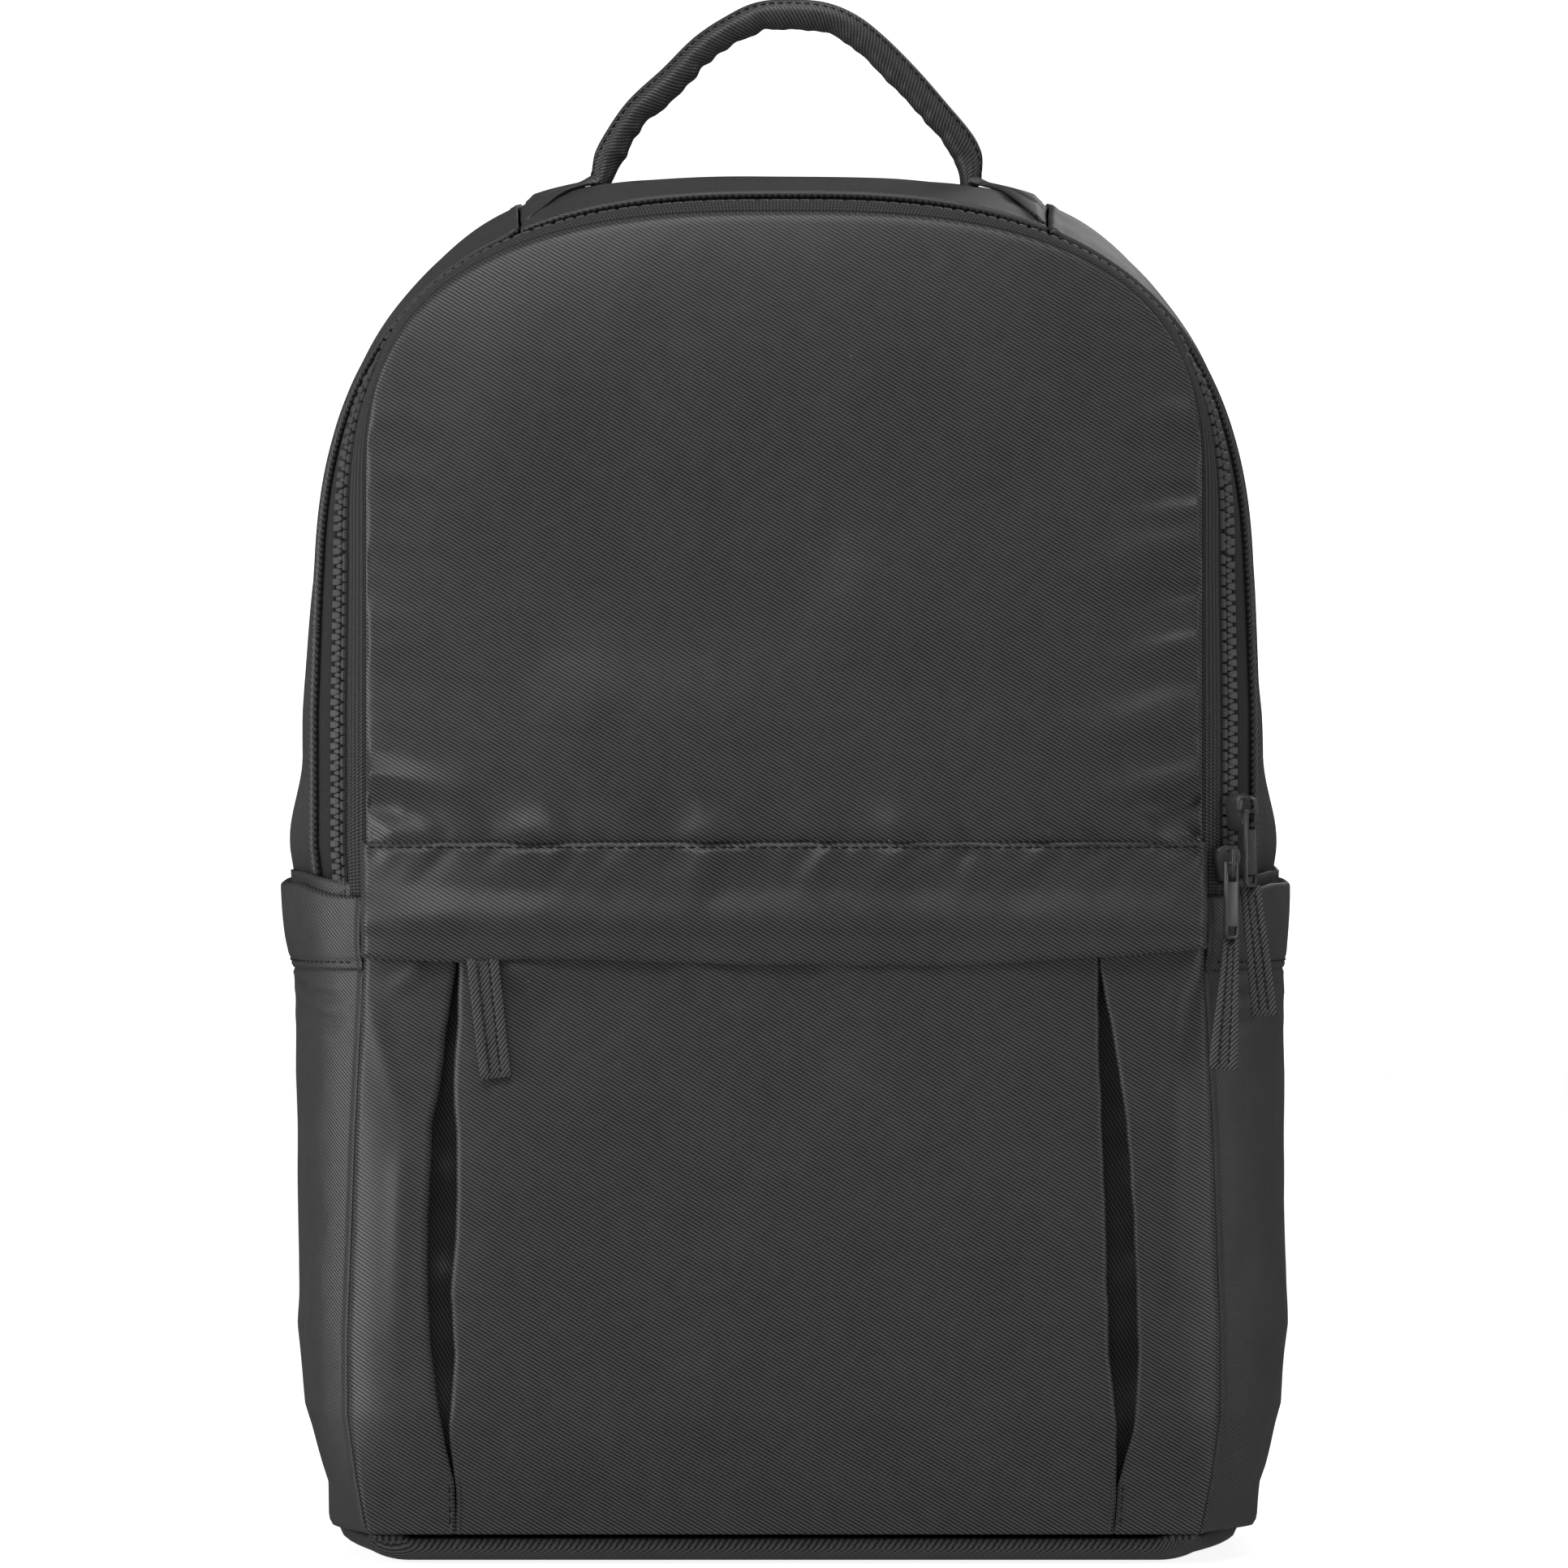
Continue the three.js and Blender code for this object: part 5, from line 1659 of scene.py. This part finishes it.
def strap_line(side, steps):
    """The middle line of a shoulder strap's pad, bowed out from the back."""
    points = []
    for row in STRAP_ROWS:
        x = mix(STRAP["top_x"], STRAP["end_x"], row["outward"])
        z = mix(STRAP["top"], STRAP["end"], row["drop"])
        points.append((side * x, STRAP_Y + STRAP["bow"] * row["bow"], z))
    return curve_line(points, steps)


def make_strap(side, name):
    """A padded shoulder strap with a bound edge on each side."""
    line = strap_line(side, 60)
    piece = strip_mesh(f"strap_pad_{name}", line, ACROSS, STRAP["width"] - 5, STRAP["wall"] - 3.5, 12,
                       lambda reach: 1 - 0.55 * reach ** 4)
    padded_cloth(piece, voxel=4.5, pressure=4.0, cap=2.2)
    apply_modifier(piece, "SUBSURF", levels=1, render_levels=1)
    flat_map(piece, 0, 2)
    finish_piece(piece, TWILL_SIDE, "cloth", f"strap_{name}")
    for edge, edge_name in ((-1, "inner"), (1, "outer")):
        bound = []
        for index, spot in enumerate(line):
            before = line[max(0, index - 1)]
            after = line[min(len(line) - 1, index + 1)]
            tangent = (after - before).normalized()
            wide = (ACROSS - tangent * tangent.x).normalized()
            bound.append(spot + wide * (edge * (STRAP["width"] / 2 - 1.5)))
        binding = strip_mesh(f"strap_binding_{name}_{edge_name}", bound, REARWARD, 7.0, 3.6, 6,
                             lambda reach: math.sqrt(max(0.02, 1 - reach ** 2)))
        finish_piece(binding, WEBBING, "ribbon")


def make_webbing(side, name):
    """The lower webbing between the adjuster and its tab."""
    line = strap_line(side, 60)
    tangent = (line[-1] - line[-2]).normalized()
    start = line[-1] + tangent * 15
    near = line[-1] + tangent * 30
    tab_low, tab_high = node_box(f"strap_anchor_{name}")
    end_z = node_box(f"strap_webbing_{name}")[0][2] + 1
    end = Vector((side * WEBBING_END_X, (tab_low[1] + tab_high[1]) / 2 + 0.2, end_z))
    middle = near.lerp(end, 0.6) + Vector((0, 4.5, 0))
    points = curve_line([start, near, middle, end], 40)
    piece = strip_mesh(f"webbing_{name}", points, ACROSS, 25.0, 1.6, 8)
    finish_piece(piece, WEBBING, "ribbon", f"strap_webbing_{name}")
    rounded_node(f"ladder_buckle_{name}", f"strap_adjuster_{name}", BUCKLE, "buckle", bevel=0.9, segments=3)
    rounded_node(f"strap_tab_{name}", f"strap_anchor_{name}", TAB, "cloth", bevel=1.1, segments=3)


# Hidden pieces of the front pocket's zip


def make_pocket_zip():
    """The closed zip strip under the flap, with its slider."""
    half = CENTRE_HALF_WIDTH

    def place(s, t):
        x = mix(-half, half, s)
        near = pocket_y(x, POCKET_TOP) + 1.5
        far = front_y(x, POCKET_TOP) - GAP
        ridge = 0.6 * math.exp(-(((t - 0.5) / 0.12) ** 2))
        return Vector((x, mix(near, far, t), POCKET_TOP + 1.2 + ridge))

    piece = cloth_sheet("pocket_zip_tape", 100, 12, place, 0.8,
                        outward=lambda centre: Vector((0, 0, 1)))
    finish_piece(piece, REAR_TAPE, "zip_tape", "pocket_zip")
    rounded_node("pocket_zip_slider", "pocket_slider", METAL, "metal", bevel=1.0)


# Studio


def make_studio():
    """A pale round floor and wall, soft lights and the camera at the photo's angle."""
    reach = 4500.0
    height = 4000.0
    count = 64
    rim = [(reach * math.cos(2 * math.pi * i / count), reach * math.sin(2 * math.pi * i / count))
           for i in range(count)]
    points = [(x, y, -0.4) for x, y in rim] + [(x, y, height) for x, y in rim]
    floor = new_piece("studio_floor", points[:count], [tuple(range(count))])
    wall_faces = [(i, i + count, (i + 1) % count + count, (i + 1) % count) for i in range(count)]
    wall = new_piece("studio_wall", points, wall_faces)
    for piece, level, glow in ((floor, 0.5, 0.88), (wall, 0.5, 1.0)):
        made = Finish(f"{piece.name}_paper", Specular_IOR_Level=0.0, Emission_Strength=1.0)
        coordinates = made.node("ShaderNodeTexCoord", {}, output=3)
        tone = made.lumps(coordinates, 0.4)
        made.feed(Base_Color=made.blend(tone, grey(level * 0.97), grey(level)), Roughness=0.8,
                  Emission_Color=grey(glow))
        piece.data.materials.append(made.material)
        piece.visible_glossy = False
    wall.visible_diffuse = False
    wall.visible_shadow = False

    def area(name, place, aim, width, height, power):
        light = bpy.data.lights.new(name, "AREA")
        light.shape = "RECTANGLE"
        light.size = width
        light.size_y = height
        light.energy = power
        lamp = bpy.data.objects.new(name, light)
        lamp.location = place
        way = Vector(aim) - Vector(place)
        lamp.rotation_euler = way.to_track_quat("-Z", "Y").to_euler()
        bpy.context.scene.collection.objects.link(lamp)
        lamp.visible_camera = False

    area("key", (-0.35, -0.95, 1.5), (0, 0, 0.4), 0.7, 0.5, 10.5)
    area("fill", (1.2, -2.2, 0.6), (0, 0, 0.22), 1.0, 1.0, 1.6)
    area("top", (0.2, -0.1, 1.9), (0, 0, 0.3), 1.2, 0.8, 9)
    area("left_edge", (-1.7, -0.5, 0.4), (0, 0, 0.15), 0.6, 1.0, 17)
    area("right_edge", (1.8, -0.3, 0.5), (0, 0, 0.2), 0.6, 1.0, 5)
    area("rear", (0.9, 2.1, 1.5), (0, 0, 0.25), 1.0, 0.8, 6)

    world = bpy.data.worlds.new("studio")
    bpy.context.scene.world = world
    world.use_nodes = True
    world.node_tree.nodes["Background"].inputs[0].default_value = (1, 1, 1, 1)
    world.node_tree.nodes["Background"].inputs[1].default_value = 0.22
    world.cycles_visibility.glossy = False
    bpy.context.scene.view_settings.view_transform = "Standard"

    camera = bpy.data.cameras.new("camera")
    camera.sensor_width = 36
    distance = 2.6
    view_height = 0.484
    eye_height = 0.2405
    camera.lens = camera.sensor_width / 2 / (view_height / 2 / distance)
    seat = bpy.data.objects.new("camera", camera)
    seat.location = (0.0, FRONT_Y * MM - distance, eye_height)
    seat.rotation_euler = (math.radians(90), 0, 0)
    camera.clip_end = 60
    bpy.context.scene.collection.objects.link(seat)
    bpy.context.scene.camera = seat


make_studio()
make_front_panel()
make_flap()
make_centre_panel()
for side, name in SIDES:
    make_pocket_side(side, name)
    make_underlay(side, name)
    make_side_pocket(side, name)
make_zip_tapes()
make_chain()
make_gussets()
make_cross_seams()
make_end_strips()
make_bottom()
make_handle()
make_handle_tails()
make_sliders()
make_ribbons()
make_pocket_zip()
make_back_wall()
make_back_panel()
for side, name in SIDES:
    make_strap(side, name)
    make_webbing(side, name)
